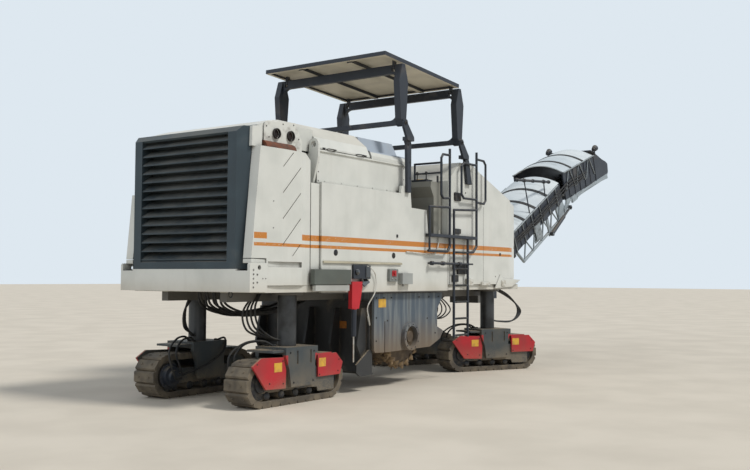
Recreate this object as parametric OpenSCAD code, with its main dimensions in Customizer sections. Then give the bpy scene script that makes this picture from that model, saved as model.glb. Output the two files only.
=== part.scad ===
// Cold planer on four tracks. Millimetres, +X to the front, +Y to the machine's left, +Z up.
// The floor is z = 0 and the origin is under the middle of the overall length.
// Side views below are drawn with x counted from the rear face, then moved back by half the length.

/* [Body] */
// Width over the rear beam and side panels
body_w = 2450; // [2200:10:2700]
// Length of the body from the rear beam to the front face
body_l = 7600; // [7450:10:8000]
// Height of the frame's underside
frame_z = 1505; // [1480:5:1540]
// Height of the deck's top face
deck_z = 1600; // [1580:5:1640]
// Sheet thickness of the body panels
skin = 40; // [30:1:50]
// Height of the ledge on top of the side panels
ledge_z = 3030; // [2980:5:3040]
// Height of the bright edge on top of the bay's side walls
hood_edge_z = 3500; // [3470:5:3510]
// Height of the hood's shoulder
hood_shoulder_z = 3680; // [3650:5:3720]
// Height of the hood's top
hood_top_z = 3890; // [3850:5:3920]
// Rear end of the side panels
panel_x0 = 1440; // [1430:5:1500]
// Front end of the full height side panels
panel_x1 = 3690; // [3650:5:3720]
// Front end of the low side panels beside the platform
panel_x2 = 4850; // [4750:10:4900]
// Height of the platform's floor
platform_z = 2350; // [2300:10:2400]
// Rear end of the front body
front_x0 = 4860; // [4855:5:4950]
// Top height of the front body behind its slope
front_top_z = 3700; // [3640:10:3760]
// Height of the front body's front edge
front_nose_z = 3110; // [3050:10:3160]

/* [Grille] */
// Width of the louvred field
grille_w = 1640; // [1500:10:1700]
// Height of the grille's lower edge
grille_z0 = 1810; // [1800:5:1860]
// Height of the grille's upper edge
grille_z1 = 3580; // [3500:5:3620]
// Number of louvres
louvres = 14; // [8:1:18]
// Depth of the grille housing
grille_d = 300; // [260:5:320]

/* [Legs] */
// Place of the rear columns from the rear face
leg_rear_x = 1140; // [1120:5:1180]
// Distance of the front columns behind the front face
leg_front_in = 700; // [650:10:760]
// Half distance between left and right columns
leg_y = 870; // [850:5:890]
// Diameter of a lifting column
col_d = 260; // [240:1:280]
// Running clearance of a column in its guide, on the radius
col_fit = 0.1; // [0.05:0.01:0.1]
// Wall of a column's guide tube
guide_wall = 40; // [30:1:50]
// Travel of a column up into its guide
leg_travel = 500; // [400:10:520]
// Steered angle of the front tracks
front_steer = -25; // [-30:1:0]

/* [Tracks] */
// Overall length of a track with its lugs
track_l = 2030; // [1900:10:2100]
// Overall height of a track with its lugs
track_h = 620; // [580:5:650]
// Width of a shoe
track_w = 400; // [340:10:410]
// Number of shoes on one track
shoes = 26; // [22:1:30]
// Height of a shoe's lug
lug_h = 26; // [15:1:32]
// Thickness of shoe and chain together
chain_t = 62; // [50:1:75]
// Number of rollers on a track frame
rollers = 5; // [3:1:6]
// Height of the yoke's top face
yoke_z = 770; // [760:5:800]

/* [Milling drum] */
// Place of the drum's axis from the rear face
drum_x = 3800; // [3750:10:3850]
// Height of the drum's axis
drum_z = 780; // [770:5:800]
// Diameter over the tool tips
drum_d = 1120; // [1080:10:1140]
// Milling width
drum_w = 2000; // [1900:10:2040]
// Number of tools on one helix
helix_tools = 26; // [10:1:30]
// Half length of the drum housing
box_half_l = 800; // [780:10:830]
// Thickness of an edge plate
edge_t = 40; // [30:1:45]

/* [Conveyor] */
// Distance of the slewing post ahead of the front face
slew_out = 360; // [340:5:400]
// Width over the conveyor's side plates
conv_w = 1240; // [1100:10:1280]
// Angle of the lower section over the horizontal
conv_a = 28; // [20:0.5:30]
// Angle of the upper section over the horizontal
fold_a = 18.5; // [12:0.5:22]
// Length of the lower section from the lift pivot to the fold hinge
conv_l1 = 3300; // [3000:10:3400]
// Length of the upper section from the fold hinge to the tip
conv_l2 = 2820; // [2600:10:2900]
// Width of the belt
belt_w = 800; // [700:10:850]
// Place of the lift pivot ahead of the slewing post
lift_x = 240; // [220:5:260]
// Height of the lift pivot
lift_z = 1720; // [1700:10:1760]

/* [Canopy] */
// Place of the rear portal from the rear face
portal_x0 = 3400; // [3350:10:3480]
// Distance between the two portals
portal_gap = 1750; // [1650:10:1800]
// How far the canopy's posts stand out from the body's side
portal_out = 105; // [100:1:115]
// Height of the rear portal's lower pivot
knuckle_z = 4130; // [4080:10:4180]
// Drop from the rear portal to the front portal
portal_drop = 100; // [60:5:110]
// Distance between a portal's pivots
link_l = 930; // [900:10:960]
// Length of the roof
roof_l = 2260; // [2100:10:2350]
// Width of the roof
roof_w = 2440; // [2300:10:2460]

/* [Ladder] */
// Place of the ladder's middle from the rear face
ladder_x = 5165; // [5140:5:5190]
// Width of the ladder
ladder_w = 470; // [430:10:480]
// Diameter of the ladder's tubes
tube_d = 44; // [34:1:50]
// Number of rungs below the step
rungs = 6; // [4:1:7]

/* [Hidden] */

$fn = 48;
gap = 0.3;
side = body_w / 2;
inner = side - skin;

slew_x = body_l + slew_out;
leg_front_x = body_l - leg_front_in;

// Fold hinge of the conveyor and its tip, from the rear face. The side plates of a section go from
// low_v to low_top and from up_v to up_top over its hinge, and the tip lies tip_v over the fold hinge.
low_v = 250;
low_top = 700;
up_v = 120;
up_top = 850;
tip_v = up_v + 130;
fold_x = slew_x + lift_x + conv_l1 * cos(conv_a);
fold_z = lift_z + conv_l1 * sin(conv_a);
tip_x = fold_x + conv_l2 * cos(fold_a) - tip_v * sin(fold_a);
x_mid = tip_x / 2;

white = [0.84, 0.84, 0.80];
dark = [0.16, 0.18, 0.21];
slate = [0.20, 0.25, 0.28];
steel = [0.55, 0.55, 0.55];
blue_grey = [0.36, 0.40, 0.43];
earth = [0.42, 0.37, 0.32];

// Puts a shape drawn from the rear face into the part's own frame
module placed(c) color(c) translate([-x_mid, 0, 0]) children();

// Right and left copies of a shape drawn on the left
module both() {
    children();
    mirror([0, 1, 0]) children();
}

// A side view, a list of [x, z], given a width from y0 to y1
module slab(pts, y0, y1) {
    translate([0, y1, 0]) rotate([90, 0, 0]) linear_extrude(y1 - y0) polygon(pts);
}

// A view from the front, a list of [y, z], given a length from x0 to x1
module length(pts, x0, x1) translate([x0, 0, 0]) rotate([90, 0, 90]) linear_extrude(x1 - x0) polygon(pts);

// The outline whose left half is given, from its foot to its top
function mirrored(half) = concat(half, [for (i = [len(half) - 1:-1:0]) [-half[i].x, half[i].y]]);

// A box from its low corner to its high corner
module block(a, b) translate(a) cube(b - a);

// A round bar between two points
module rod(a, b, d) {
    v = b - a;
    translate(a) rotate([0, acos(v.z / norm(v)), atan2(v.y, v.x)]) cylinder(d = d, h = norm(v));
}

// A bent round bar through a list of points, with round corners
module bar(pts, d) {
    for (i = [0:len(pts) - 2]) rod(pts[i], pts[i + 1], d);
    for (i = [1:len(pts) - 2]) translate(pts[i]) sphere(d = d + 1);
}

// A cylinder across the machine, from y0 to y1 at [x, z]
module across(x, z, y0, y1, d) translate([x, y1, z]) rotate([90, 0, 0]) cylinder(d = d, h = y1 - y0);

// Column places: [x, y sign, steered angle]
LEGS = [
    [leg_rear_x, -1, 0], [leg_rear_x, 1, 0],
    [leg_front_x, -1, front_steer], [leg_front_x, 1, front_steer]
];

// Main frame with the deck and the guide tubes of the columns
guide_od = col_d + 2 * col_fit + 2 * guide_wall;
guide_top = frame_z + 1250;
beam_d = 220;
hole_d = col_d + 2 * col_fit;

module guide_tube(x, y) {
    translate([x, y, frame_z - 40]) cylinder(d = guide_od, h = guide_top - frame_z + 40);
    translate([x, y, frame_z - 40]) cylinder(d = guide_od + 90, h = 30);
}

module main_frame() placed(white) difference() {
    union() {
        block([beam_d, -inner, frame_z], [body_l - 60, inner, deck_z]);
        for (y = [-1, 1]) {
            block([beam_d, y * 560 - 60, frame_z - 130], [drum_x - box_half_l - 240, y * 560 + 60, frame_z]);
            block([drum_x + box_half_l + 240, y * 600 - 60, frame_z - 130],
                  [body_l - 60, y * 600 + 60, frame_z]);
        }
        block([body_l - 220, -500, frame_z - 130], [body_l - 60, 500, frame_z]);
        block([body_l - 60, -320, ear_z], [slew_x - 270, 320, deck_z]);
        for (z = [ear_z, ear_z + 310]) translate([slew_x, 0, z]) slew_ear();
        for (l = LEGS) guide_tube(l.x, l.y * leg_y);
    }
    for (l = LEGS) translate([l.x, l.y * leg_y, 0]) cylinder(d = hole_d, h = 4000);
    block([drum_x + 1900, -430, frame_z - 10], [in_x0 + (deck_z + 325 - in_z0) / tan(in_a), 430, deck_z + 10]);
    translate([slew_x, 0, 0]) cylinder(d = slew_pin_d + 0.1, h = 3000);
}

// Ear that carries the slewing post, 60 thick
slew_pin_d = 140;
ear_z = lift_z - 500;
ear_t = 60;
module slew_ear() {
    cylinder(d = 280, h = ear_t);
    translate([-300, -140, 0]) cube([300, 280, ear_t]);
}

// Rear beam with its end boxes and side plates, which have the tie-down eyes
eye_r = 30;
eye_x = beam_d - 40;
eye_z = grille_z0 + 20;
box_y = 980;
module rear_beam() placed(white) {
    block([0, -box_y, frame_z + 10], [beam_d, box_y, grille_z0]);
    both() {
        difference() {
            block([0, box_y, frame_z + 10], [beam_d, inner, eye_z - eye_r - 10]);
            block([40, box_y + 40, frame_z], [beam_d - 40, inner - 40, frame_z + 60]);
        }
        difference() {
            slab([[0, frame_z + 10], [0, eye_z + 40], [20, eye_z + 60], [beam_d + 90, eye_z + 60],
                  [beam_d + 110, eye_z + 40], [beam_d + 110, frame_z + 10]], inner, side);
            across(eye_x, eye_z, inner - 10, side + 10, 2 * eye_r);
        }
    }
}

// Louvred grille in a frame whose sides and top slope back
grille_side = 1050;
module grille() placed(slate) {
    pitch = (grille_z1 - grille_z0 - 110) / louvres;
    hw = grille_w / 2;
    foot = grille_z0 + 110;
    difference() {
        intersection() {
            slab([[0, grille_z0], [0, grille_z1], [90, grille_z1 + 80], [grille_d, grille_z1 + 80],
                  [grille_d, grille_z0]], -grille_side, grille_side);
            translate([0, 0, grille_z0]) linear_extrude(grille_z1) polygon([[0, -hw - 145], [0, hw + 145],
                [170, grille_side], [grille_d, grille_side], [grille_d, -grille_side], [170, -grille_side]]);
        }
        block([25, -hw, foot], [200, hw, grille_z1 - 20]);
        slab([[-5, foot - 25], [-5, grille_z1 + 5], [26, grille_z1 - 20], [26, foot]], -hw, hw);
    }
    for (i = [0:louvres - 1]) translate([0, 0, foot + pitch * i])
        slab([[12, 6], [12, 22], [150, pitch * 0.95], [205, pitch * 0.95], [205, pitch * 0.75]], -hw, hw);
}

// Rear corner panels, folded from one sheet round the engine bay. The left one is lower than the
// right one. Their rear edge leans forward, and a flat strip closes them against the grille.
bay_y = 985;
corner_x0 = 60;
corner_x1 = 1230;
corner_foot = grille_z0 + 140;
corner_lean = 0.1;
slot_l = 380;
module corner(top) {
    back = corner_x0 + corner_lean * (top - corner_foot);
    difference() {
        intersection() {
            translate([0, 0, deck_z]) linear_extrude(top) polygon([[0, side - 40], [310, side - 20], [610, side],
                [1020, side], [1130, side - 35], [corner_x1, side - 35], [corner_x1, side - 75], [1115, side - 75],
                [1010, side - 40], [612, side - 40], [312, side - 60], [0, side - 80]]);
            slab([[corner_x0, corner_foot], [back, top], [1130, top], [corner_x1, top - 90], [corner_x1, deck_z],
                  [beam_d + 110, deck_z], [beam_d + 110, corner_foot]], 0, side + 1);
        }
        intersection() {
            for (z = [top + 150:-345:corner_foot + 100])
                slab([[1000, z], [1000, z - 16], [1000 - slot_l, z - slot_l - 16], [1000 - slot_l, z - slot_l]],
                     side - 15, side + 2);
            block([625, side - 16, corner_foot + 40], [985, side + 3, top - 30]);
        }
        block([360, side - 35, corner_foot - 110], [1020, side + 3, corner_foot - 40]);
    }
    slab([[corner_x0, corner_foot], [back, top], [back + skin, top], [corner_x0 + skin, corner_foot]],
         grille_side, side - 35);
    block([grille_d, bay_y + 25, top - skin], [1130, side - 35, top]);
    block([grille_d, bay_y, 2800], [1330, bay_y + 25, 3440]);
}
module corner_panels() placed(white) {
    mirror([0, 1, 0]) {
        corner(3400);
        slab([[205, 3400], [150, 3400], [160, 3660], [300, 3680], [350, 3690], [340, 3400]], grille_side, 1095);
    }
    corner(2860);
}

// Side panels with the ledge, the bay's walls over it and the low stretch beside the platform
hood_half = 1130;
cowl_x = panel_x1 - 930;
module side_panel() {
    slab([[panel_x0, frame_z - 20], [panel_x0, ledge_z], [panel_x1 - 270, ledge_z], [panel_x1 - 250, ledge_z + 120],
          [panel_x1, ledge_z + 120], [panel_x1 + 40, ledge_z - 210], [4180, ledge_z - 220], [4230, platform_z + 60],
          [panel_x2, platform_z + 60], [panel_x2, frame_z - 20]], inner, side);
    length([[hood_half - 35, ledge_z - 20], [hood_half - 35, hood_edge_z], [hood_half + 20, hood_edge_z],
            [hood_half + 20, hood_edge_z - 25], [hood_half, hood_edge_z - 30], [hood_half, ledge_z],
            [side - 4, ledge_z - 4], [side - 4, ledge_z - 20]], panel_x0 + 5, panel_x1);
    block([panel_x1 - 30, hood_half - 35, ledge_z - 20], [panel_x1 + 40, hood_half, hood_edge_z]);
}
// Fixed cowl ahead of the hood, with the ears and pins of the hood's hinges
function cowl_half(t) = [[hood_half - t, hood_edge_z - t], [hood_half - t, hood_edge_z + 50 - t * 0.3],
    [hood_half - 40 - t, hood_shoulder_z - 50 - t * 0.5], [920 - t, hood_shoulder_z - 20 - t * 0.9],
    [860 - t, hood_top_z - 30 - t * 0.9], [400, hood_top_z - t]];
cowl_t = 30;
hinge_x = cowl_x - 20;
hinge_z = hood_top_z;
hinge_w = 40;
hinge_pin = 16;
module cowl() {
    difference() {
        intersection() {
            length(mirrored(cowl_half(0)), cowl_x, panel_x1 + 80);
            slab([[cowl_x, hood_edge_z], [cowl_x, hood_top_z], [panel_x1, hood_top_z - 20],
                  [panel_x1 + 80, hood_shoulder_z - 40], [panel_x1 + 40, hood_shoulder_z - 70],
                  [panel_x1 + 40, hood_edge_z]], -side, side);
        }
        intersection() {
            length(mirrored(cowl_half(cowl_t)), cowl_x - 10, panel_x1 + 50);
            slab([[cowl_x - 10, hood_edge_z - 50], [cowl_x - 10, hood_top_z], [panel_x1 - cowl_t, hood_top_z - 20],
                  [panel_x1 + 20, hood_shoulder_z - 40], [panel_x1 + 40 - cowl_t, hood_shoulder_z - 80],
                  [panel_x1 + 40 - cowl_t, hood_edge_z - 50]], -side, side);
        }
    }
    both() translate([0, 600, 0]) {
        for (y = [-hinge_w / 2 - 20, hinge_w / 2 + gap]) {
            across(hinge_x, hinge_z, y, y + 20 - gap, 36);
            slab([[hinge_x, hinge_z - 18], [hinge_x, hinge_z + 18], [hinge_x + 100, hinge_z],
                  [hinge_x + 100, hinge_z - 20], [hinge_x + 30, hinge_z - 30]], y, y + 20 - gap);
        }
        across(hinge_x, hinge_z, -hinge_w / 2 - 20, hinge_w / 2 + 20, hinge_pin);
    }
}
module side_panels() placed(white) {
    both() side_panel();
    cowl();
}

// Front body over the front columns, with its sloping top and chamfered front corners
nose_in = 150;
module front_body() placed(white) {
    difference() {
        intersection() {
            slab([[front_x0, deck_z], [front_x0, front_top_z - 350], [front_x0 + 390, front_top_z],
                  [front_x0 + 840, front_top_z], [front_x0 + 1090, front_top_z - 110],
                  [body_l - 340, front_nose_z + 20], [body_l, front_nose_z], [body_l, deck_z + 120],
                  [body_l - 60, deck_z]], -side, side);
            translate([0, 0, deck_z]) linear_extrude(front_top_z) polygon([[0, -side], [0, side],
                [body_l - 470, side], [body_l, side - nose_in], [body_l, -side + nose_in], [body_l - 470, -side]]);
        }
        intersection() {
            slab([[front_x0 + skin, deck_z - 10], [front_x0 + skin, front_top_z - 368],
                  [front_x0 + 405, front_top_z - skin], [front_x0 + 830, front_top_z - skin],
                  [front_x0 + 1075, front_top_z - 150], [body_l - 350, front_nose_z - 22],
                  [body_l - skin, front_nose_z - skin], [body_l - skin, deck_z - 10]], -inner, inner);
            translate([0, 0, deck_z - 20]) linear_extrude(front_top_z) polygon([[0, -inner], [0, inner],
                [body_l - 480, inner], [body_l - skin, inner - nose_in + 10],
                [body_l - skin, -inner + nose_in - 10], [body_l - 480, -inner]]);
        }
        block([body_l - 60, -430, face_z - 180], [body_l + 10, 430, face_z + 300]);
        both() block([front_x0 + 1235, side - 12, deck_z + 60], [front_x0 + 1243, side + 1, front_nose_z - 120]);
    }
    both() slab([[body_l - 1080, frame_z + 20], [body_l - 880, deck_z + 180], [body_l - 750, deck_z + 110],
                 [body_l - 60, deck_z + 80], [body_l - 410, frame_z + 50]], side + gap, side + 20);
    both() block([body_l - 900, side - 10, deck_z + 90], [body_l - 700, side + 2, deck_z + 130]);
}

// Engine, one block on the deck
module engine() placed(dark) difference() {
    block([480, -430, deck_z], [2300, 430, 2860]);
    block([470, 300, 2500], [2310, 440, 2900]);
}

// Housing over the milling drum
shell_r = drum_d / 2 + 60;
housing_y = 1090;
module drum_housing() placed(blue_grey) difference() {
    slab([[drum_x - box_half_l, 560], [drum_x - box_half_l - 140, 700], [drum_x - box_half_l - 140, frame_z],
          [drum_x + box_half_l + 140, frame_z], [drum_x + box_half_l + 140, 760], [drum_x + box_half_l, 620]],
         -housing_y, housing_y);
    across(drum_x, drum_z, -housing_y + 30, housing_y - 30, 2 * shell_r);
    slab([[drum_x - shell_r, 300], [drum_x - shell_r, drum_z], [drum_x + shell_r, drum_z], [drum_x + shell_r, 300]],
         -housing_y + 30, housing_y - 30);
    slab([[drum_x, 620], [drum_x, 1150], [drum_x + box_half_l + 200, 1150], [drum_x + box_half_l + 200, 620]],
         -420, 420);
    across(drum_x, drum_z, -housing_y - 5, housing_y + 5, hub_d + 0.1);
    slab([[drum_x - shell_r + 60, 300], [drum_x - 190, drum_z - 110], [drum_x + 190, drum_z - 110],
          [drum_x + shell_r - 60, 300]], -housing_y - 5, housing_y + 5);
}
hub_d = 150;

// Milling drum with its tools on two opposed helices
body_r = drum_d / 2 - 130;
module tool(r) {
    translate([0, 0, r - 20]) cylinder(d1 = 96, d2 = 64, h = 80);
    translate([0, 0, r + 55]) cylinder(d1 = 44, d2 = 10, h = drum_d / 2 - r - 55);
}
module milling_drum() placed(earth) translate([drum_x, 0, drum_z]) {
    rotate([90, 0, 0]) cylinder(r = body_r, h = drum_w, center = true);
    rotate([90, 0, 0]) cylinder(d = hub_d, h = 2 * housing_y - 2, center = true);
    for (s = [-1, 1], k = [0:helix_tools - 1]) {
        y = s * (drum_w / 2 - 40 - k * (drum_w / 2 - 100) / helix_tools);
        translate([0, y, 0]) rotate([0, k * 63 + (s > 0 ? 30 : 0), 0]) tool(body_r);
    }
}

// Edge plates that float on the ground beside the drum
edge_y0 = housing_y + 4;
ring_d = 440;
module edge_plate() difference() {
    slab([[drum_x - 960, 620], [drum_x - 930, 575], [drum_x - 680, 565], [drum_x + 640, 580],
          [drum_x + 960, 700], [drum_x + 1030, 790], [drum_x + 1030, 840], [drum_x + 850, 910],
          [drum_x + 740, 1040], [drum_x + 850, 1180], [drum_x + 1010, 1370], [drum_x + 1030, frame_z - 35],
          [drum_x - 960, frame_z - 35]], edge_y0, edge_y0 + edge_t);
    across(drum_x, drum_z, housing_y, edge_y0 + edge_t + 5, ring_d - 110);
    block([drum_x - 680, edge_y0 - 5, 500], [drum_x - 662, edge_y0 + edge_t + 5, 1040]);
}
module edge_ring() difference() {
    across(drum_x, drum_z, edge_y0 + edge_t, side - 25, ring_d);
    across(drum_x, drum_z, housing_y, side, ring_d - 110);
}
module edge_plate_left() placed(blue_grey) {
    edge_plate();
    edge_ring();
}
module edge_plate_right() placed(blue_grey) mirror([0, 1, 0]) {
    edge_plate();
    edge_ring();
}

// Scraper behind the drum
scraper_x = drum_x - box_half_l - 140 - gap;
module scraper() placed(dark) {
    slab([[scraper_x - 60, 280], [scraper_x - 60, 1360], [scraper_x, 1360], [scraper_x, 300], [scraper_x + 60, 250],
          [scraper_x + 20, 240]], -housing_y + 20, housing_y - 20);
    both() slab([[scraper_x - 400, 300], [scraper_x - 400, 420], [scraper_x - 80, 620], [scraper_x, 620],
                 [scraper_x, 250], [scraper_x - 300, 240]], housing_y - 30, housing_y);
    for (y = [-1000, -500, 0, 500, 1000]) slab([[scraper_x - 300, 700], [scraper_x - 60, 300],
        [scraper_x - 60, 1250], [scraper_x - 180, 1250]], y - 20, y + 20);
}

// Conveyor that takes the milled material forward and up, through the deck and the front face
in_a = 22;
in_x0 = drum_x + 720;
in_z0 = drum_z + 30;
in_l = (body_l + 425 - in_x0) / cos(in_a);
face_z = in_z0 + (body_l - in_x0) * tan(in_a);
module inner_conveyor() placed(dark) translate([in_x0, 0, in_z0]) rotate([0, -in_a, 0]) {
    both() block([0, 380, -90], [in_l, 400, 180]);
    block([60, -380, 0], [in_l - 60, 380, 20]);
    block([60, -380, -80], [in_l - 60, 380, -60]);
    across(in_l - 110, -20, -385, 385, 130);
}

// Operator's platform
bulk_x = panel_x1 + 40;
module platform() placed(dark) {
    block([bulk_x, -inner, platform_z - 40], [front_x0, inner, platform_z]);
    for (y = [-1, 1]) block([bulk_x, y * 1000 - 20, deck_z], [bulk_x + 60, y * 1000 + 20, platform_z - 40]);
    block([bulk_x, -hood_half, platform_z], [bulk_x + 40, hood_half, hood_edge_z]);
    both() block([bulk_x + 40, hood_half - 160, platform_z], [bulk_x + 80, hood_half - 60, hood_edge_z - 300]);
}

// Consoles of the platform, right and left, with their rails
console_x = front_x0 - 260;
module consoles() placed(steel) both() {
    slab([[console_x, platform_z], [console_x, 3060], [console_x - 100, 3230], [console_x - 80, 3320],
          [front_x0, 3320], [front_x0, platform_z]], 560, 1100);
    bar([[console_x + 190, 600, 3300], [console_x + 190, 600, 3660], [console_x + 190, 1140, 3660],
         [console_x + 190, 1140, 3480], [console_x + 190, 1060, 3440], [console_x + 190, 1060, 3300]], 36);
    rod([console_x + 190, 600, 3490], [console_x + 190, 1140, 3490], 30);
    block([console_x - 70, 700, 3320], [console_x + 120, 1000, 3360]);
    across(console_x - 60, 3400, 640, 660, 60);
    rod([console_x - 60, 650, 3300], [console_x - 60, 650, 3400], 24);
}

// Access ladders with their step, posts and hand rails
ladder_y = side + 75;
rung_gap = 280;
post_x0 = ladder_x - 375;
post_x1 = ladder_x + 545;
module hand_loop(pts) bar([for (p = pts) [p.x, ladder_y, p.y]], tube_d - 4);
module ladder() {
    x0 = ladder_x - ladder_w / 2;
    x1 = ladder_x + ladder_w / 2;
    step_z = platform_z + 55;
    for (x = [x0, x1]) bar([[x, ladder_y, step_z - rungs * rung_gap - 20], [x, ladder_y, step_z]], tube_d);
    for (i = [1:rungs]) rod([x0, ladder_y, step_z - i * rung_gap + 20], [x1, ladder_y, step_z - i * rung_gap + 20], 30);
    block([4150, side, step_z - 25], [post_x1, ladder_y + 25, step_z + 25]);
    bar([[post_x0, ladder_y, 3880], [post_x0, ladder_y, 2240], [post_x0 - 80, ladder_y, 2150],
         [4110, ladder_y, 2150]], tube_d);
    bar([[post_x1, ladder_y, 3920], [post_x1, ladder_y, 2260], [post_x1 - 120, ladder_y, 2160],
         [x1, ladder_y, 2150]], tube_d);
    hand_loop([[post_x0, 3770], [post_x0 - 220, 3765], [post_x0 - 275, 3700], [post_x0 - 275, 3090],
               [post_x0 - 215, 3035], [post_x0, 3045]]);
    hand_loop([[post_x1, 3690], [post_x1 - 450, 3690], [post_x1 - 525, 3625], [post_x1 - 525, 3145],
               [post_x1 - 450, 3080], [post_x1, 3085]]);
    hand_loop([[post_x1, 3800], [post_x1 + 260, 3795], [post_x1 + 330, 3730], [post_x1 + 330, 3090],
               [post_x1 + 265, 3030], [post_x1, 3040]]);
    hand_loop([[4150, step_z], [4150, 2870], [post_x0, 2890]]);
    hand_loop([[x0, step_z], [x0, 2860], [post_x1, 2900]]);
    rod([4150, ladder_y, 2150], [4150, ladder_y, step_z], 36);
    rod([4230, ladder_y, 1950], [post_x1 - 140, ladder_y, 1950], 30);
    for (x = [x0, x1]) rod([x, ladder_y, 1950], [x, side, 1950], 30);
    rod([4230, ladder_y, 1950], [4230, side, 1950], 30);
    rod([post_x1 - 140, ladder_y, 1950], [post_x1 - 140, side, 1950], 30);
    rod([post_x1 + 265, ladder_y, 3030], [post_x1 + 265, side, 3030], 24);
}
module ladders() placed(dark) both() ladder();

// Boxes, the red guard with its cylinder barrel and the rails along the right side
guard_x = 2070;
module side_controls() placed(dark) mirror([0, 1, 0]) {
    block([panel_x0 - 230, side, 1610], [2040, side + 70, 1820]);
    block([panel_x0 - 200, side + 10, 1520], [2010, side + 64, 1600]);
    block([panel_x0 - 170, side + 4, 1600], [1980, side + 50, 1610]);
    block([2150, side, 1690], [2570, side + 35, 1890]);
    block([panel_x0 + 30, side, 1910], [3430, side + 25, 1940]);
    block([3060, side, 1650], [3290, side + 45, 1840]);
    block([3360, side, 1610], [3650, side + 80, 1780]);
    slab([[guard_x, 1260], [guard_x, 1650], [guard_x + 250, 1650], [guard_x + 250, 1560], [guard_x + 170, 1260]],
         side, side + 68);
    rod([guard_x + 95, side + 34, 1280], [guard_x + 85, side + 34, 860], 76);
}

// Transverse lifting plates with their eyes
lift_eye_r = 42;
lift_eye_z = 3560;
lift_ring_r = 81;
lift_eye_y = side - lift_ring_r;
lift_plate_x = panel_x0 - 90;
module lifting_plates() placed(white) both() difference() {
    union() {
        length([[1000, deck_z], [1072, deck_z], [1072, 2780], [side, 3380], [side, lift_eye_z],
                [lift_eye_y - lift_ring_r, lift_eye_z], [lift_eye_y - lift_ring_r - 10, 3440], [1000, 3400]],
               lift_plate_x, lift_plate_x + 40);
        translate([lift_plate_x, lift_eye_y, lift_eye_z]) rotate([0, 90, 0]) cylinder(r = lift_ring_r, h = 40);
    }
    translate([lift_plate_x - 5, lift_eye_y, lift_eye_z]) rotate([0, 90, 0]) cylinder(r = lift_eye_r, h = 50);
}

// Exhaust on the right rear corner: its plate, two outlets and the curved heat shield under them
niche_y = 1050;
outlet_d = 140;
module exhaust() placed([0.35, 0.22, 0.16]) mirror([0, 1, 0]) {
    difference() {
        union() {
            slab([[420, 3400], [1200, 3400], [1200, 3580], [1050, 3815], [450, 3765], [420, 3710]],
                 niche_y, niche_y + 8);
            for (x = [655, 945]) across(x, 3620, niche_y + 8, niche_y + 38, outlet_d);
        }
        for (x = [655, 945]) across(x, 3620, niche_y + 4, niche_y + 40, outlet_d - 16);
    }
    difference() {
        intersection() {
            translate([370, niche_y + 8, 3400]) rotate([0, 90, 0]) cylinder(r = 104, h = 600);
            block([360, niche_y + 8, 3400], [980, niche_y + 140, 3520]);
        }
        translate([380, niche_y + 8, 3395]) rotate([0, 90, 0]) cylinder(r = 96, h = 580);
    }
}

// Fixed lower posts of the canopy, one outline each: a broad foot on the body, then a step outwards
// under the portal's pivot, so that the portal folds inside the post
post_y = side + portal_out;
pivot_d = 40;
portal_t = 110;
ring_y = post_y - 45;
POSTS = [
    [portal_x0, knuckle_z, [[140, -1080], [240, -1080], [240, -300], [200, -210], [60, -210], [120, -320]]],
    [portal_x0 + portal_gap, knuckle_z - portal_drop,
        [[290, -690], [440, -690], [350, -300], [240, -110], [100, -110], [200, -220]]]
];
module canopy_posts() placed(dark) both() for (p = POSTS) translate([p[0], 0, p[1]]) {
    slab(p[2], side, side + 50);
    slab([[60, -270], [240, -270], [240, -210], [60, -210]], side, post_y);
    difference() {
        union() {
            slab([[-50, 0], [50, 0], [240, -210], [160, -270], [60, -270], [-50, -80]], post_y - 40, post_y);
            across(0, 0, post_y - 40, post_y, 110);
        }
        across(0, 0, post_y - 60, post_y + 20, pivot_d + 0.1);
    }
}

// Folding portals, each a ring in one plane with round inner corners and tapered sides, on two pivots.
// Its top has slots for the ears of the roof, ear_y0 to ear_y1 from the middle.
ear_y0 = post_y - 245;
ear_y1 = post_y - 210;
ear_drop = 45;
ear_pin = 30;
win_low = 45;
win_top = 140;
win_r = 130;
bar_t = 35;
module window(w, z0, z1, r) {
    translate([-w + r, z0]) square([2 * w - 2 * r, z1 - z0]);
    translate([-w, z0 + r]) square([2 * w, z1 - z0 - 2 * r]);
    for (s = [-1, 1], z = [z0 + r, z1 - r]) translate([s * (w - r), z]) circle(r = r);
}
module portal(x, z) translate([x, 0, z]) difference() {
    union() {
        translate([-bar_t, 0, 0]) rotate([90, 0, 90]) linear_extrude(2 * bar_t) difference() {
            translate([-ring_y, -30]) square([2 * ring_y, link_l + 30]);
            window(ring_y - portal_t, win_low, link_l - win_top, win_r);
        }
        both() {
            slab([[-bar_t, link_l], [-125, link_l - 280], [-75, 60], [-50, -20], [50, -20], [75, 60],
                  [125, link_l - 280], [bar_t, link_l]], ring_y - portal_t, ring_y);
            across(0, 0, ring_y - portal_t, ring_y, 110);
            across(0, 0, ring_y, post_y - 2, pivot_d);
        }
    }
    both() {
        block([-bar_t - 5, ear_y0 - 12, link_l - 112], [bar_t + 5, ear_y1 + 12, link_l + 5]);
        across(0, link_l - ear_drop, ear_y1, ring_y + 5, ear_pin + 0.1);
    }
}
module portal_rear() placed(dark) portal(portal_x0, knuckle_z);
module portal_front() placed(dark) portal(portal_x0 + portal_gap, knuckle_z - portal_drop);

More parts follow.
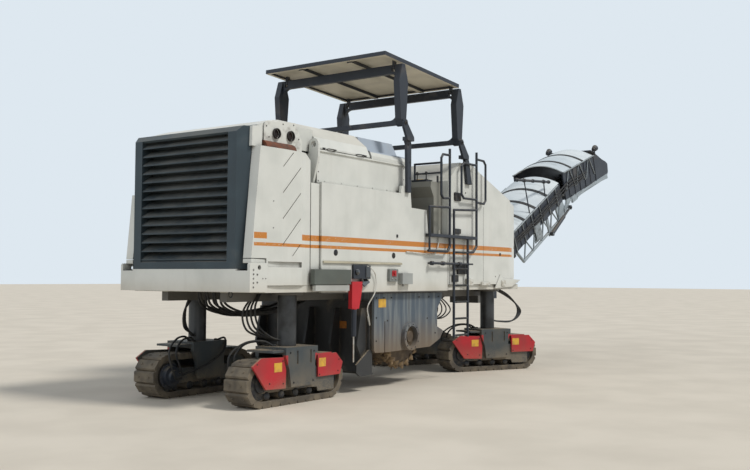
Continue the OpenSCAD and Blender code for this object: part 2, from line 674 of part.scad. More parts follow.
// Roof: a panel in an edge frame with two lengthwise beams, and the ears that hang in the portals
roof_tilt = atan(portal_drop / portal_gap);
roof_rear = 430;
roof_z = 40;
roof_t = 65;
module canopy_roof() placed(dark) {
    translate([portal_x0, 0, knuckle_z + link_l]) rotate([0, roof_tilt, 0]) {
        difference() {
            translate([-roof_rear, -roof_w / 2, roof_z]) cube([roof_l, roof_w, roof_t]);
            translate([60 - roof_rear, 60 - roof_w / 2, roof_z - 5]) cube([roof_l - 120, roof_w - 120, 40]);
        }
        both() translate([50 - roof_rear, 450, 20]) cube([roof_l - 100, 90, 60]);
        both() for (x = [0, norm([portal_gap, portal_drop])]) translate([x - 35, ear_y0, -ear_drop])
            cube([70, ear_y1 - ear_y0, roof_z + ear_drop + 40]);
    }
    both() for (k = [0, 1])
        translate([portal_x0 + k * portal_gap, 0, knuckle_z - k * portal_drop + link_l - ear_drop]) {
            across(0, 0, ear_y0, ear_y1, 70);
            across(0, 0, ear_y1, ring_y - 5, ear_pin);
        }
}

// Slewing bracket of the conveyor
module conveyor_swivel() placed(dark) difference() {
    union() {
        translate([slew_x, 0, ear_z]) cylinder(d = slew_pin_d, h = 430);
        translate([slew_x, 0, ear_z + ear_t + gap]) cylinder(d = 270, h = 250 - 2 * gap);
        both() block([slew_x, 300, lift_z - 420], [slew_x + lift_x + 90, 340, lift_z + 90]);
        block([slew_x + 40, -300, lift_z - 420], [slew_x + 100, 300, lift_z - 230]);
        across(lift_low.x, lift_low.y, -340, 340, eye_pin_d);
    }
    across(slew_x + lift_x, lift_z, -400, 400, 80.1);
}

// Places a shape drawn along +X from a hinge into a section of the conveyor
module on_lower() translate([slew_x + lift_x, 0, lift_z]) rotate([0, -conv_a, 0]) children();
module on_upper() translate([fold_x, 0, fold_z]) rotate([0, -fold_a, 0]) children();

conv_half = conv_w / 2;
chord_v = -90;
chord_u = 900;
bays = 9;
belt_t = 20;
module conveyor_lower() placed(dark) on_lower() {
    bay = (conv_l1 - 200 - chord_u) / bays;
    both() {
        block([350, conv_half - 30, low_v], [conv_l1 - 60, conv_half, low_top]);
        for (u = [500:400:conv_l1 - 300]) block([u, conv_half - 5, low_v + 20], [u + 30, conv_half + 12, low_top - 20]);
        bar([[chord_u - 250, conv_half - 35, low_v + 30], [chord_u, conv_half - 35, chord_v],
             [conv_l1 - 200, conv_half - 35, chord_v]], 64);
        for (i = [0:bays - 1]) rod([chord_u + i * bay, conv_half - 20, i % 2 == 0 ? chord_v : low_v + 20],
                                   [chord_u + (i + 1) * bay, conv_half - 20, i % 2 == 0 ? low_v + 20 : chord_v], 34);
        slab([[-90, -60], [-90, 100], [150, 240], [300, low_v + 120], [400, low_v + 120], [400, -60]], 350, 390);
        block([300, 350, 60], [360, conv_half, low_v + 120]);
        block([1560, conv_half - 32, 0], [1840, conv_half - 12, low_v + 180]);
    }
    across(0, 0, -400, 400, 80);
    block([345, -belt_w / 2, low_v + 70], [conv_l1 - 80, belt_w / 2, low_v + 70 + belt_t]);
    for (u = [420:(conv_l1 - 620) / 3:conv_l1 - 190])
        block([u, -conv_half + 30, low_v], [u + 60, conv_half - 30, low_v + 70]);
    both() difference() {
        slab([[conv_l1 - 420, low_v + 40], [conv_l1 - 360, chord_v - 20], [conv_l1 - 160, chord_v - 40], [conv_l1 + 50, -50],
              [conv_l1 + 50, 40], [conv_l1 - 60, low_v + 100]], conv_half - 70, conv_half - 30);
        across(conv_l1, 0, 0, conv_half, 50.1);
    }
    across(1100, -60, -lift_y - 60, lift_y + 60, eye_pin_d);
    both() {
        block([1060, lift_y + 35, -90], [1140, lift_y + 65, low_v + 60]);
        across(fold_low_uv.x, fold_low_uv.y, conv_half - 30, conv_half + 80, eye_pin_d);
        block([fold_low_uv.x - 50, conv_half - 30, fold_low_uv.y - 40], [fold_low_uv.x + 50, conv_half, low_v + 50]);
    }
    block([1060, -conv_half + 30, low_v], [1140, conv_half - 30, low_v + 60]);
}

// Arched covers of thin sheet, real arcs from side to side: a table of [start, end] along the section
arch_rise = 190;
arch_t = 20;
module arch(x0, x1) {
    r = (conv_half * conv_half + arch_rise * arch_rise) / (2 * arch_rise);
    translate([x0, 0, 0]) rotate([90, 0, 90]) linear_extrude(x1 - x0) intersection() {
        difference() {
            translate([0, arch_rise - r]) circle(r = r, $fn = 180);
            translate([0, arch_rise - r]) circle(r = r - arch_t, $fn = 180);
        }
        translate([-conv_half, 0]) square([conv_w, arch_rise]);
    }
}
LOW_COVERS = [[700, 1240], [1250, 1840], [1850, 2500], [2510, conv_l1 - 80]];
UP_COVERS = [[130, 575], [585, 1290], [1300, 1940]];
module covers_lower() placed(white) on_lower() translate([0, 0, low_top]) {
    for (c = LOW_COVERS) arch(c[0], c[1]);
}
head_u = 2100;
module conveyor_upper() placed(dark) on_upper() {
    nose = [conv_l2 + 25, tip_v + 190];
    brow = [conv_l2 - 60, tip_v + 260];
    both() {
        slab([[100, up_v], [conv_l2 - 120, up_v], [conv_l2, tip_v], nose, brow, [head_u, up_top - 20], [1950, up_top],
              [100, up_top]], conv_half - 30, conv_half);
        for (u = [330:330:head_u]) block([u, conv_half - 5, up_v + 60], [u + 34, conv_half + 12, up_top - 20]);
        slab([[700, up_v - 10], [1230, up_v + 40], [1900, up_v + 30], [conv_l2 - 120, up_v - 15],
              [conv_l2 - 120, up_v + 45], [1900, up_v + 90], [1230, up_v + 100], [700, up_v + 50]],
             conv_half - 5, conv_half + 22);
        slab([[-40, -40], [40, -40], [400, up_v + 30], [100, up_v + 60], [-40, 40]], conv_half - 28, conv_half - 8);
        across(0, 0, conv_half - 75, conv_half - 8, 50);
        slab([[420, up_v - 60], [720, up_v - 40], [740, up_v + 40], [410, up_v + 130]], conv_half - 25, conv_half + 14);
        block([head_u + 20, conv_half - 28, up_top - 100], [head_u + 60, conv_half - 2, up_top + 60]);
        translate([head_u + 40, conv_half - 15, up_top + 110]) rotate([0, 80, 0]) cylinder(d1 = 120, d2 = 150, h = 90);
        translate([head_u - 10, conv_half - 15, up_top + 105]) rotate([0, 80, 0]) cylinder(d = 90, h = 60);
    }
    block([120, -belt_w / 2, up_v + 150], [conv_l2 - 160, belt_w / 2, up_v + 150 + belt_t]);
    across(conv_l2 - 160, tip_v - 40, -conv_half + 30, conv_half - 30, 160);
    for (u = [200, 900, 1600, 2300]) block([u, -conv_half + 30, up_v + 70], [u + 60, conv_half - 30, up_v + 150]);
    slab([[1960, up_top + 130], [head_u, up_top + 60], brow, nose, [nose.x - 25, nose.y - 20], [brow.x - 10, brow.y - 30],
          [head_u - 10, up_top + 30], [1960, up_top + 100]], -conv_half + 30, conv_half - 30);
}
module covers_upper() placed(white) on_upper() translate([0, 0, up_top]) {
    for (c = UP_COVERS) arch(c[0], c[1]);
}

// Cylinders: barrels and rods of the lift and of the fold
// Their pins are [x, z] from the rear face, from a place [along, over] in the section's own axes
function in_lower(u, v) = [slew_x + lift_x + u * cos(conv_a) - v * sin(conv_a),
                           lift_z + u * sin(conv_a) + v * cos(conv_a)];
function in_upper(u, v) = [fold_x + u * cos(fold_a) - v * sin(fold_a), fold_z + u * sin(fold_a) + v * cos(fold_a)];
lift_low = [slew_x + 170, lift_z - 380];
lift_high = in_lower(1100, -60);
fold_low_uv = [conv_l1 - 1000, -120];
fold_low = in_lower(fold_low_uv.x, fold_low_uv.y);
fold_high = in_upper(150, 20);
eye_d = 100;
eye_pin_d = 40;

// A point on the line from pin to pin, at a way s from the first
function on_line(a, b, s) = a + (b - a) * s / norm(b - a);
module stretch(a, b, y, s0, s1, d) {
    p = on_line(a, b, s0);
    q = on_line(a, b, s1);
    rod([p.x, y, p.y], [q.x, y, q.y], d);
}
// Barrel of length l on its pin, and the rod that starts at a way s inside it
module barrel(a, b, y, d, l) difference() {
    union() {
        stretch(a, b, y, 0, l, d);
        across(a.x, a.y, y - 30, y + 30, 100);
    }
    stretch(a, b, y, 90, l + 10, d * 0.6 + 0.2);
    across(a.x, a.y, y - d, y + d, eye_pin_d + 0.1);
}
module piston(a, b, y, d, s) {
    stretch(a, b, y, s, norm(b - a), d * 0.6);
    across(b.x, b.y, y - 28, y + 28, eye_d);
}
lift_y = 240;
fold_y = conv_half + 45;
lift_l = 800;
fold_l = 740;
module lift_barrels() placed(dark) both() barrel(lift_low, lift_high, lift_y, 110, lift_l);
module lift_rods() placed(steel) both() difference() {
    piston(lift_low, lift_high, lift_y, 110, 560);
    across(lift_high.x, lift_high.y, lift_y - 40, lift_y + 40, eye_pin_d + 30);
}
module fold_barrels() placed(dark) both() barrel(fold_low, fold_high, fold_y, 80, fold_l);
module fold_rods() placed(steel) both() {
    piston(fold_low, fold_high, fold_y, 80, 590);
    across(fold_high.x, fold_high.y, conv_half + 6, fold_y + 45, eye_pin_d);
}

// Lifting columns
col_top = frame_z + 700;
module column(i) placed(steel) {
    translate([LEGS[i].x, LEGS[i].y * leg_y, yoke_z + gap]) cylinder(d = col_d, h = col_top - yoke_z);
    translate([LEGS[i].x, LEGS[i].y * leg_y, yoke_z - 120]) cylinder(d = 140, h = 130);
}
module column_rear_right() column(0);
module column_rear_left() column(1);
module column_front_right() column(2);
module column_front_left() column(3);

// Puts a track unit, drawn along X at the origin, under its column
module under_column(i) {
    translate([LEGS[i].x, LEGS[i].y * leg_y, 0]) rotate([0, 0, LEGS[i].z]) scale([1, LEGS[i].y, 1]) children();
}

// Track frame with yoke, rollers, end wheels and outer guards, drawn for the left side
ring_in = track_h / 2 - lug_h - chain_t;
wheel_x = track_l / 2 - track_h / 2;
GUARD_REAR = [[-950, 560], [-780, 660], [-340, 645], [-290, 480], [-300, 230], [-690, 245]];
GUARD_FRONT = [[380, 640], [800, 640], [950, 500], [890, 330], [390, 330]];
module track_frame() {
    hw = track_w / 2;
    difference() {
        union() {
            block([-330, -hw - 75, yoke_z - 90], [340, hw + 75, yoke_z]);
            block([-560, -hw - 15, yoke_z - 60], [-330, hw + 45, yoke_z - 30]);
            block([340, -hw - 15, yoke_z - 135], [690, hw + 45, yoke_z - 115]);
            block([320, -hw - 15, yoke_z - 135], [345, hw + 45, yoke_z - 40]);
            for (s = [-1, 1]) translate([0, s * (hw + 45), 0]) slab([[-330, yoke_z], [340, yoke_z], [340, yoke_z - 60],
                [285, 560], [285, 240], [-220, 240], [-260, 480], [-330, 640]], -30, 30);
            across(0, track_h / 2, -hw - 75, hw + 75, 130);
        }
        translate([0, 0, yoke_z - 125]) cylinder(d = 140.1, h = 200);
        for (x = [-110, 170]) block([x, hw + 60, 540], [x + 34, hw + 80, yoke_z - 50]);
    }
    block([-wheel_x, -hw + 40, track_h / 2 - 120], [wheel_x, hw - 40, track_h / 2 + 90]);
    for (s = [-1, 1]) across(s * wheel_x, track_h / 2, -hw + 60, hw - 60, 2 * (ring_in - gap));
    for (i = [0:rollers - 1]) across(-wheel_x + 120 + i * (2 * wheel_x - 240) / (rollers - 1),
        lug_h + chain_t + 60 + gap, -hw + 50, hw - 50, 120);
    slab([[-560, 230], [-560, 430], [-300, 480], [400, 480], [780, 430], [780, 130], [420, 130], [400, 190],
          [-240, 230]], hw + 2, hw + 15);
    slab(GUARD_REAR, hw + 15, hw + 45);
    slab(GUARD_FRONT, hw + 15, hw + 45);
}
module track_frame_rear_right() placed(blue_grey) under_column(0) track_frame();
module track_frame_rear_left() placed(blue_grey) under_column(1) track_frame();
module track_frame_front_right() placed(blue_grey) under_column(2) track_frame();
module track_frame_front_left() placed(blue_grey) under_column(3) track_frame();

// Track, one closed loop. A point on the loop's side view at a way s along it and a height h
// over the wheel's radius: two straight runs and two half circles.
end_r = track_h / 2 - lug_h;
run = 2 * wheel_x;
arc = PI * end_r;
loop_l = 2 * (run + arc);
function on_arc(x, a, r) = [x + r * cos(a), track_h / 2 + r * sin(a)];
function on_loop(s, h) =
    s < run ? [-run / 2 + s, track_h / 2 - end_r - h] :
    s < run + arc ? on_arc(run / 2, -90 + 180 * (s - run) / arc, end_r + h) :
    s < 2 * run + arc ? [run / 2 - (s - run - arc), track_h / 2 + end_r + h] :
    on_arc(-run / 2, 90 + 180 * (s - 2 * run - arc) / arc, end_r + h);
// Shoe outline along its pitch: [share of the pitch, height]
SHOE = [[0.02, -14], [0.04, 6], [0.15, lug_h], [0.83, lug_h], [0.95, 8], [0.98, -14]];
module track() {
    hw = track_w / 2;
    pitch = loop_l / shoes;
    rotate([90, 0, 0]) linear_extrude(track_w, center = true) difference() {
        polygon([for (i = [0:shoes - 1], p = SHOE) on_loop((i + p.x) * pitch, p.y)]);
        for (s = [-1, 1]) translate([s * wheel_x, track_h / 2]) circle(r = ring_in);
        translate([-wheel_x, track_h / 2 - ring_in]) square([2 * wheel_x, 2 * ring_in]);
    }
}
module track_rear_right() placed(earth) under_column(0) track();
module track_rear_left() placed(earth) under_column(1) track();
module track_front_right() placed(earth) under_column(2) track();
module track_front_left() placed(earth) under_column(3) track();

// Engine hood, a lid over the bay with a narrower rear part, hinged to the cowl at its front edge
hood_x0 = 310;
rear_w = 1040;
lid_x0 = panel_x0 + 10;
lid_x1 = cowl_x - 40;
lid_t = 30;
lid_z0 = hood_edge_z + 15;
rear_z0 = hood_edge_z - 40;
function lid_half(z0, t) = [[hood_half - 5 - t, z0], [hood_half - 5 - t, hood_edge_z + 40 - t * 0.3],
    [hood_half - 70 - t * 0.9, hood_shoulder_z - t * 0.4], [hood_half - 305 - t * 0.5, hood_top_z - 20 - t * 0.9],
    [400, hood_top_z - t]];
function rear_half(z0, t) = [[rear_w - t, z0], [rear_w - t, hood_shoulder_z + 90 - t * 0.4],
    [rear_w - 215 - t * 0.5, hood_top_z - 20 - t * 0.9], [400, hood_top_z - t]];
function lid_side(t) = [[hood_x0 + t, rear_z0 - 2 * t], [hood_x0 + t, hood_shoulder_z + 20 - t * 0.6],
    [600 + t * 0.2, hood_shoulder_z + 120 - t], [1050, hood_top_z - t], [lid_x1 - t, hood_top_z - t],
    [lid_x1 - t, rear_z0 - 2 * t]];
module hood() placed(white) {
    difference() {
        intersection() {
            union() {
                length(mirrored(rear_half(rear_z0, 0)), hood_x0, lid_x0 + 1);
                length(mirrored(lid_half(lid_z0, 0)), lid_x0, lid_x1);
            }
            slab(lid_side(0), -side, side);
        }
        intersection() {
            union() {
                length(mirrored(rear_half(rear_z0 - 20, lid_t)), hood_x0, lid_x0 + lid_t + 1);
                length(mirrored(lid_half(rear_z0 - 20, lid_t)), lid_x0 + lid_t, lid_x1);
            }
            slab(lid_side(lid_t), -side, side);
        }
    }
    both() translate([0, 600, 0]) difference() {
        union() {
            across(hinge_x, hinge_z, -hinge_w / 2, hinge_w / 2, 36);
            slab([[hinge_x, hinge_z - 18], [hinge_x, hinge_z + 18], [hinge_x - 110, hinge_z],
                  [hinge_x - 110, hinge_z - 25], [hinge_x - 22, hinge_z - 25]], -hinge_w / 2, hinge_w / 2);
        }
        across(hinge_x, hinge_z, -hinge_w, hinge_w, hinge_pin + 0.1);
    }
}

main_frame();
rear_beam();
grille();
corner_panels();
side_panels();
front_body();
engine();
drum_housing();
inner_conveyor();
platform();
consoles();
ladders();
side_controls();
lifting_plates();
exhaust();
canopy_posts();
milling_drum();
edge_plate_right();
edge_plate_left();
scraper();
hood();
portal_rear();
portal_front();
canopy_roof();
conveyor_swivel();
conveyor_lower();
covers_lower();
conveyor_upper();
covers_upper();
lift_barrels();
lift_rods();
fold_barrels();
fold_rods();
column_rear_right();
column_rear_left();
column_front_right();
column_front_left();
track_frame_rear_right();
track_frame_rear_left();
track_frame_front_right();
track_frame_front_left();
track_rear_right();
track_rear_left();
track_front_right();
track_front_left();
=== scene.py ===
# %% [markdown]
# A cold planer is a road milling machine on four crawler tracks. Its steel parts come from the packed
# model and stay as they are. Every step below adds either a finish, which is a material made of nodes,
# or a small piece that the solid model leaves out, such as bolts, hoses, belts and lamps.

# %% The fixed frame
import math

import bmesh
import bpy
from mathutils import Matrix, Vector


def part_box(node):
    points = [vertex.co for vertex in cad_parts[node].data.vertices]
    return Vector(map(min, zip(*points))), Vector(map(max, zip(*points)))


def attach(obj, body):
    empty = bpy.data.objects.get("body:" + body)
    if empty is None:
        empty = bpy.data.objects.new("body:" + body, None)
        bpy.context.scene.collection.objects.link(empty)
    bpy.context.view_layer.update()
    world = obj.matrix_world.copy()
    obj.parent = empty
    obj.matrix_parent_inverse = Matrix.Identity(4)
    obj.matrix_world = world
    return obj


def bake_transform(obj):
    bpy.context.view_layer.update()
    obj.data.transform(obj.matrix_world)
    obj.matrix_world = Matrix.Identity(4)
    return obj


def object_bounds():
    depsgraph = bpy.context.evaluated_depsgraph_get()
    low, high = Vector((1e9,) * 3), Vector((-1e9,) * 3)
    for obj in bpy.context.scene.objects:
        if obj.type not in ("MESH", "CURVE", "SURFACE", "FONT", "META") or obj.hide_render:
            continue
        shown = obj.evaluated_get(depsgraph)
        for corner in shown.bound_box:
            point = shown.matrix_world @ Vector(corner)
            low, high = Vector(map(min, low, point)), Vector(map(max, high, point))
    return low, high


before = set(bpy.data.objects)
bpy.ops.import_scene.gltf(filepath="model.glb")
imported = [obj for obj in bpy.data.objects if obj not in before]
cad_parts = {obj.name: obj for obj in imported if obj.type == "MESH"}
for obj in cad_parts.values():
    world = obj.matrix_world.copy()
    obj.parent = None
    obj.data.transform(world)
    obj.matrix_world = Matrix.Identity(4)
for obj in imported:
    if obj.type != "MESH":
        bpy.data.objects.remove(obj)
cad_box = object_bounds()
rear_x = cad_box[0].x

# %% [markdown]
# Shader maths reads best as plain expressions. This class holds one output socket of a node tree, and
# the usual operators on it add Math nodes. Its node() method makes any other node, with the settings
# first and then the values or links of its sockets.

# %% A socket that does arithmetic
def first(operation):
    """An operator whose own wire comes first."""
    return lambda wire, other: wire.math(operation, wire, other)


def second(operation):
    """An operator whose own wire comes second, as in 1 - wire."""
    return lambda wire, other: wire.math(operation, other, wire)


class Wire:
    """An output socket of a node tree. Operators on it add Math nodes to the same tree."""

    def __init__(self, tree, socket=None):
        self.tree = tree
        self.socket = socket

    def node(self, kind, settings=None, inputs=None, out=0):
        made = self.tree.nodes.new(kind)
        for key, value in (settings or {}).items():
            setattr(made, key, value)
        for key, value in (inputs or {}).items():
            if isinstance(value, Wire):
                self.tree.links.new(value.socket, made.inputs[key])
            else:
                made.inputs[key].default_value = value
        return Wire(self.tree, made.outputs[out] if made.outputs else None)

    def math(self, operation, *terms):
        return self.node("ShaderNodeMath", {"operation": operation}, dict(enumerate(terms)))

    def __abs__(self):
        return self.math("ABSOLUTE", self)

    __add__, __radd__ = first("ADD"), second("ADD")
    __sub__, __rsub__ = first("SUBTRACT"), second("SUBTRACT")
    __mul__, __rmul__ = first("MULTIPLY"), second("MULTIPLY")
    __or__, __and__ = first("MAXIMUM"), first("MINIMUM")


print("operators ready")

# %% [markdown]
# Colours are easiest to judge as they look in a picture, from 0 to 255, but a shader wants linear light.
# One helper turns the first into the second, and another makes a colour darker or lighter.

# %% Colours as they look
def look(red, green, blue):
    """A linear colour with alpha from the values that a picture shows."""
    shares = [value / 255 for value in (red, green, blue)]
    return tuple(s / 12.92 if s < 0.04045 else ((s + 0.055) / 1.055) ** 2.4 for s in shares) + (1.0,)


def scaled(colour, share):
    return tuple(c * share for c in colour[:3]) + (1.0,)


WHITE_PAINT = look(222, 224, 219)
WHITE_SHADE = look(206, 209, 204)
ORANGE_STRIPE = look(200, 126, 44)
SLATE_PAINT = look(44, 58, 66)
BLACK_PAINT = look(32, 38, 48)
HOUSING_PAINT = look(78, 90, 102)
FRAME_PAINT = look(60, 68, 72)
GUARD_RED = look(186, 30, 42)
CONSOLE_GREY = look(150, 150, 142)
ROOF_BEIGE = look(214, 206, 186)
# Painted shade with a sky reflection, for the cowl's slanted side.
COWL_SHADE_BLUE = look(166, 178, 192)
TRUSS_GREY = look(158, 170, 178)
PLATE_YELLOW = look(222, 176, 62)
# Dust; on the tops of dark paint it also serves as a painted sky reflection.
DUST = look(186, 170, 144)
EARTH = look(122, 106, 86)
RUST = look(110, 60, 36)
BARE_STEEL = look(150, 148, 144)
SHADOW_DIRT = look(74, 68, 60)
print("white paint in linear light", [round(c, 3) for c in WHITE_PAINT])

# %% [markdown]
# Dirt, chips and stripes are all masks: numbers from 0 to 1 that say where one colour gives way to
# another. Noise makes them uneven, the Bevel node finds edges, ambient occlusion finds corners, and
# the object's own coordinates say how high or how far along a point lies.

# %% Masks
def ramp_up(value, low, high):
    """0 below low, 1 above high, and a smooth rise between."""
    limits = {0: value, 1: low, 2: high, 3: 0.0, 4: 1.0}
    return value.node("ShaderNodeMapRange", {"interpolation_type": "SMOOTHSTEP", "clamp": True}, limits)


def band(value, low, high, soft=0.002):
    """1 between low and high, with edges as soft as given."""
    return ramp_up(value, low - soft, low + soft) * (1 - ramp_up(value, high - soft, high + soft))


def noise(place, scale, detail=4.0, stretch=(1.0, 1.0, 1.0)):
    """Uneven values about 0.5. A stretch under 1 draws them out along that axis."""
    drawn = place.node("ShaderNodeMapping", None, {"Vector": place, "Scale": stretch})
    return place.node("ShaderNodeTexNoise", None, {"Vector": drawn, "Scale": scale, "Detail": detail})


def mix(share, under, over):
    """One colour over another."""
    return share.node("ShaderNodeMix", {"data_type": "RGBA"}, {0: share, 6: under, 7: over}, out=2)


def axes(place):
    """The three coordinates of a place."""
    made = place.node("ShaderNodeSeparateXYZ", None, {0: place})
    return [Wire(place.tree, plug) for plug in made.socket.node.outputs]


def normal_of(place):
    return place.node("ShaderNodeNewGeometry", out="Normal")


def edges(place, width):
    """A mask of outer and inner edges, with the rounded normal that goes with it."""
    rounded = place.node("ShaderNodeBevel", {"samples": 4}, {"Radius": width})
    pair = {0: rounded, 1: normal_of(place)}
    return 1 - place.node("ShaderNodeVectorMath", {"operation": "DOT_PRODUCT"}, pair, out="Value"), rounded


def hollows(place, reach):
    """A mask of corners and gaps, where dirt stays."""
    return 1 - place.node("ShaderNodeAmbientOcclusion", {"samples": 4}, {"Distance": reach}, out="AO")


def upward(place):
    """1 on faces that look up, where dust settles, and on dark paint also where a painted sky reflection lightens the
    tops.
    """
    return ramp_up(axes(normal_of(place))[2], 0.35, 0.9)


def facing_down(place):
    """1 on faces that look at the ground."""
    return ramp_up(axes(normal_of(place))[2] * -1.0, 0.8, 0.9)


def wear(place, cloud_scale, speck_scale, width, reach, speck_detail=3.0):
    """What most recipes start from: clouds, specks, an edge mask, the rounded normal and a hollow mask."""
    specks = noise(place, speck_scale, speck_detail)
    return noise(place, cloud_scale, 5.0), specks, *edges(place, width), hollows(place, reach)


print("masks ready")

# %% [markdown]
# A finish is a Principled shader with three things wired to it: a colour, a roughness and a height
# that becomes a Bump. Everything that is the same all over is set on the shader's own sockets.

# %% From a recipe to a material
BUMP = {"Strength": 0.6, "Distance": 0.004}
finishes = {}


def finish(name, recipe, *given, **constants):
    """Makes a material from a recipe, a function of the place and of whatever else is given.

    It returns colour, roughness, height and the rounded normal, which may be None."""
    material = bpy.data.materials.new(name)
    material.use_nodes = True
    tree = material.node_tree
    tree.nodes.clear()
    start = Wire(tree)
    place = start.node("ShaderNodeTexCoord", out="Object")
    colour, roughness, height, rounded = recipe(place, *given)
    bump_inputs = {"Height": height, **BUMP}
    if rounded is not None:
        bump_inputs["Normal"] = rounded
    bump = start.node("ShaderNodeBump", None, bump_inputs)
    wired = {"Base Color": colour, "Roughness": roughness, "Normal": bump}
    shader = start.node("ShaderNodeBsdfPrincipled", None, {**constants, **wired})
    start.node("ShaderNodeOutputMaterial", None, {"Surface": shader})
    finishes[name] = material
    return material


def dress(names, material):
    """Gives CAD nodes their material."""
    for name in names:
        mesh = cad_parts[name].data
        mesh.materials.clear()
        mesh.materials.append(material)


# %% [markdown]
# The body paint is a warm white that has faded and carries grey streaks below every ledge. Two orange
# stripes run along the sides, a thick one over a thin one, and break off at the rear corner. They are
# painted by position, so they line up from panel to panel. Below the frame's height the paint is darkened
# to a near black, as painted shade under the frame.

# %% Body paint with its stripes
STRIPES = (
    # height from and to, and where the parts of the stripe start and end
    ((2.205, 2.285), ((0.107, 0.335), (1.02, 7.54))),
    ((2.11, 2.155), ((0.107, 7.54),)),
)
STRIPE_SIDE = 1.15
BELLY_Z = 1.5


def stripes(place):
    """The orange stripes on both sides of the body. Only the thick one has a gap."""
    x, y, z = axes(place)
    along = x - rear_x
    painted = 0.0
    for height, parts in STRIPES:
        for part in parts:
            painted = band(z, *height) * band(along, *part) + painted
    return painted * ramp_up(abs(y), STRIPE_SIDE, STRIPE_SIDE + 0.01)


def shaded_cowl_side(place):
    """The slanted side of the fixed cowl, which is painted blue-grey as painted shade with a sky reflection."""
    x, y, z = axes(place)
    return band(x - rear_x, 2.76, 3.86) * ramp_up(z, 3.585, 3.59) * band(abs(y), 0.845, 1.10)


def white_paint(place):
    z = axes(place)[2]
    clouds, specks, edge, rounded, gap = wear(place, 1.7, 55.0, 0.006, 0.12)
    streaks = noise(place, 6.0, 4.0, (1.0, 1.0, 0.12))
    colour = mix(ramp_up(clouds, 0.35, 0.75), WHITE_PAINT, WHITE_SHADE)
    worn = ramp_up(specks + clouds * 0.4, 0.80, 0.92)
    # Painted shade: the cowl's slanted side is turned blue-grey, as in shade under the sky.
    colour = mix(shaded_cowl_side(place), colour, COWL_SHADE_BLUE)
    colour = mix(stripes(place) * (1 - worn * 0.5), colour, ORANGE_STRIPE)
    film = ramp_up(streaks, 0.52, 0.80) * (0.12 + gap * 0.4)
    colour = mix(film, colour, look(160, 156, 146))
    low = (1 - ramp_up(z, 1.45, 1.75)) * (0.15 + 0.4 * clouds)
    colour = mix(low | upward(place) * 0.25, colour, DUST)
    # Painted shade: below the frame's height the white is darkened to a near black, as the shadow under the frame.
    below = 1 - ramp_up(z, BELLY_Z - 0.002, BELLY_Z + 0.002)
    colour = mix(below * 0.9, colour, look(62, 60, 56))
    colour = mix(ramp_up(gap, 0.25, 0.85) * 0.75, colour, SHADOW_DIRT)
    chips = ramp_up(edge * 1.6 + specks * 0.55, 0.62, 0.72) * ramp_up(clouds, 0.42, 0.56)
    colour = mix(chips, colour, look(96, 84, 74))
    roughness = 0.42 + 0.22 * clouds + 0.2 * film
    return colour, roughness, clouds * 0.25 + specks * 0.03 - chips * 0.25, rounded


finish("body_white", white_paint, **{"Coat Weight": 0.15, "Coat Roughness": 0.25})
dress(["corner_panels", "side_panels", "front_body", "rear_beam", "hood", "lifting_plates", "main_frame"],
      finishes["body_white"])


def cover_skin(place):
    """The thin pale covers of the conveyor, cleaner and cooler than the body, with dirt in the joints."""
    clouds = noise(place, 1.2)
    runs = noise(place, 7.0, 4.0, (1.0, 0.15, 1.0))
    gap = hollows(place, 0.10)
    colour = mix(ramp_up(clouds, 0.3, 0.7), look(214, 221, 224), look(190, 200, 206))
    colour = mix(ramp_up(runs, 0.5, 0.75) * 0.35 | ramp_up(gap, 0.2, 0.8) * 0.6, colour, look(130, 136, 134))
    return colour, 0.45 + 0.2 * clouds, runs * 0.3, None


dress(["covers_lower", "covers_upper"], finish("cover_skin", cover_skin))

# %% [markdown]
# Slate and black paint cover the grille, the canopy, the platform and the conveyor. On a machine that
# works in milled asphalt, dark paint shows every bit of pale dust. Faces that look up are paler still, by
# dust and by a painted sky reflection. The scraper stands in the dirt, so its paint takes the most.

# %% Dark paints
def dark_paint(place, base, dust_and_sheen_share, worn_to, areas=()):
    """A dark paint with dust and a painted sky reflection on top, dust in corners and low down, and bright chips on the
    edges.

    Each area is a mask and the colour of the paint there."""
    clouds, specks, edge, rounded, gap = wear(place, 2.3, 70.0, 0.005, 0.09)
    colour = mix(ramp_up(clouds, 0.4, 0.7) * 0.5, base, scaled(base, 1.7))
    for area, paint in areas:
        colour = mix(area(place), colour, mix(ramp_up(clouds, 0.35, 0.7), paint, scaled(paint, 0.8)))
    # The tops are paled by dust and by a painted sky reflection; corners and patches by dust.
    paled = upward(place) * 0.75 | ramp_up(gap, 0.3, 0.9) * 0.45 | ramp_up(clouds, 0.55, 0.8) * 0.35
    paled = paled * ramp_up(specks + clouds, 0.75, 1.15)
    colour = mix(paled * dust_and_sheen_share, colour, DUST)
    chips = ramp_up(edge * 1.5 + specks * 0.6, 0.62, 0.72)
    colour = mix(chips * ramp_up(clouds, 0.40, 0.55), colour, worn_to)
    return colour, 0.38 + 0.25 * clouds + 0.3 * paled, clouds * 0.2 + specks * 0.05 - chips * 0.2, rounded


WORN_BLACK = look(98, 92, 86)
dress(["grille"], finish("slate_paint", dark_paint, SLATE_PAINT, 0.25, look(92, 96, 98)))
dress(["scraper"], finish("dirty_paint", dark_paint, look(44, 45, 46), 1.0, look(90, 80, 68)))
dress(["engine", "inner_conveyor", "ladders", "canopy_posts", "portal_rear", "portal_front",
       "conveyor_swivel", "lift_barrels", "fold_barrels"],
      finish("black_paint", dark_paint, BLACK_PAINT, 0.4, WORN_BLACK))

# %% [markdown]
# Several nodes hold more than one colour: the roof is beige below, the consoles have dark rails over grey
# boxes, and the gear along the right side is grey, red and dark. Each area is a box in the machine's own
# lengths, and a Multiply of three bands makes it a mask. The truss of a conveyor needs the conveyor's own
# directions, so its mask turns the place back first.

# %% Nodes with areas of their own colour
def region(x_span, z_span):
    """A mask of a box across the whole width, with x counted from the rear face. A span may be None."""

    def mask(place):
        x, y, z = axes(place)
        share = 1.0
        for value, span in ((x - rear_x, x_span), (z, z_span)):
            if span is not None:
                share = band(value, *span) * share
        return share

    return mask


# start of a conveyor section along and up, and its slope in degrees
LOWER = (8.2, 1.72, 28.0)
UPPER = (11.114, 3.269, 18.5)


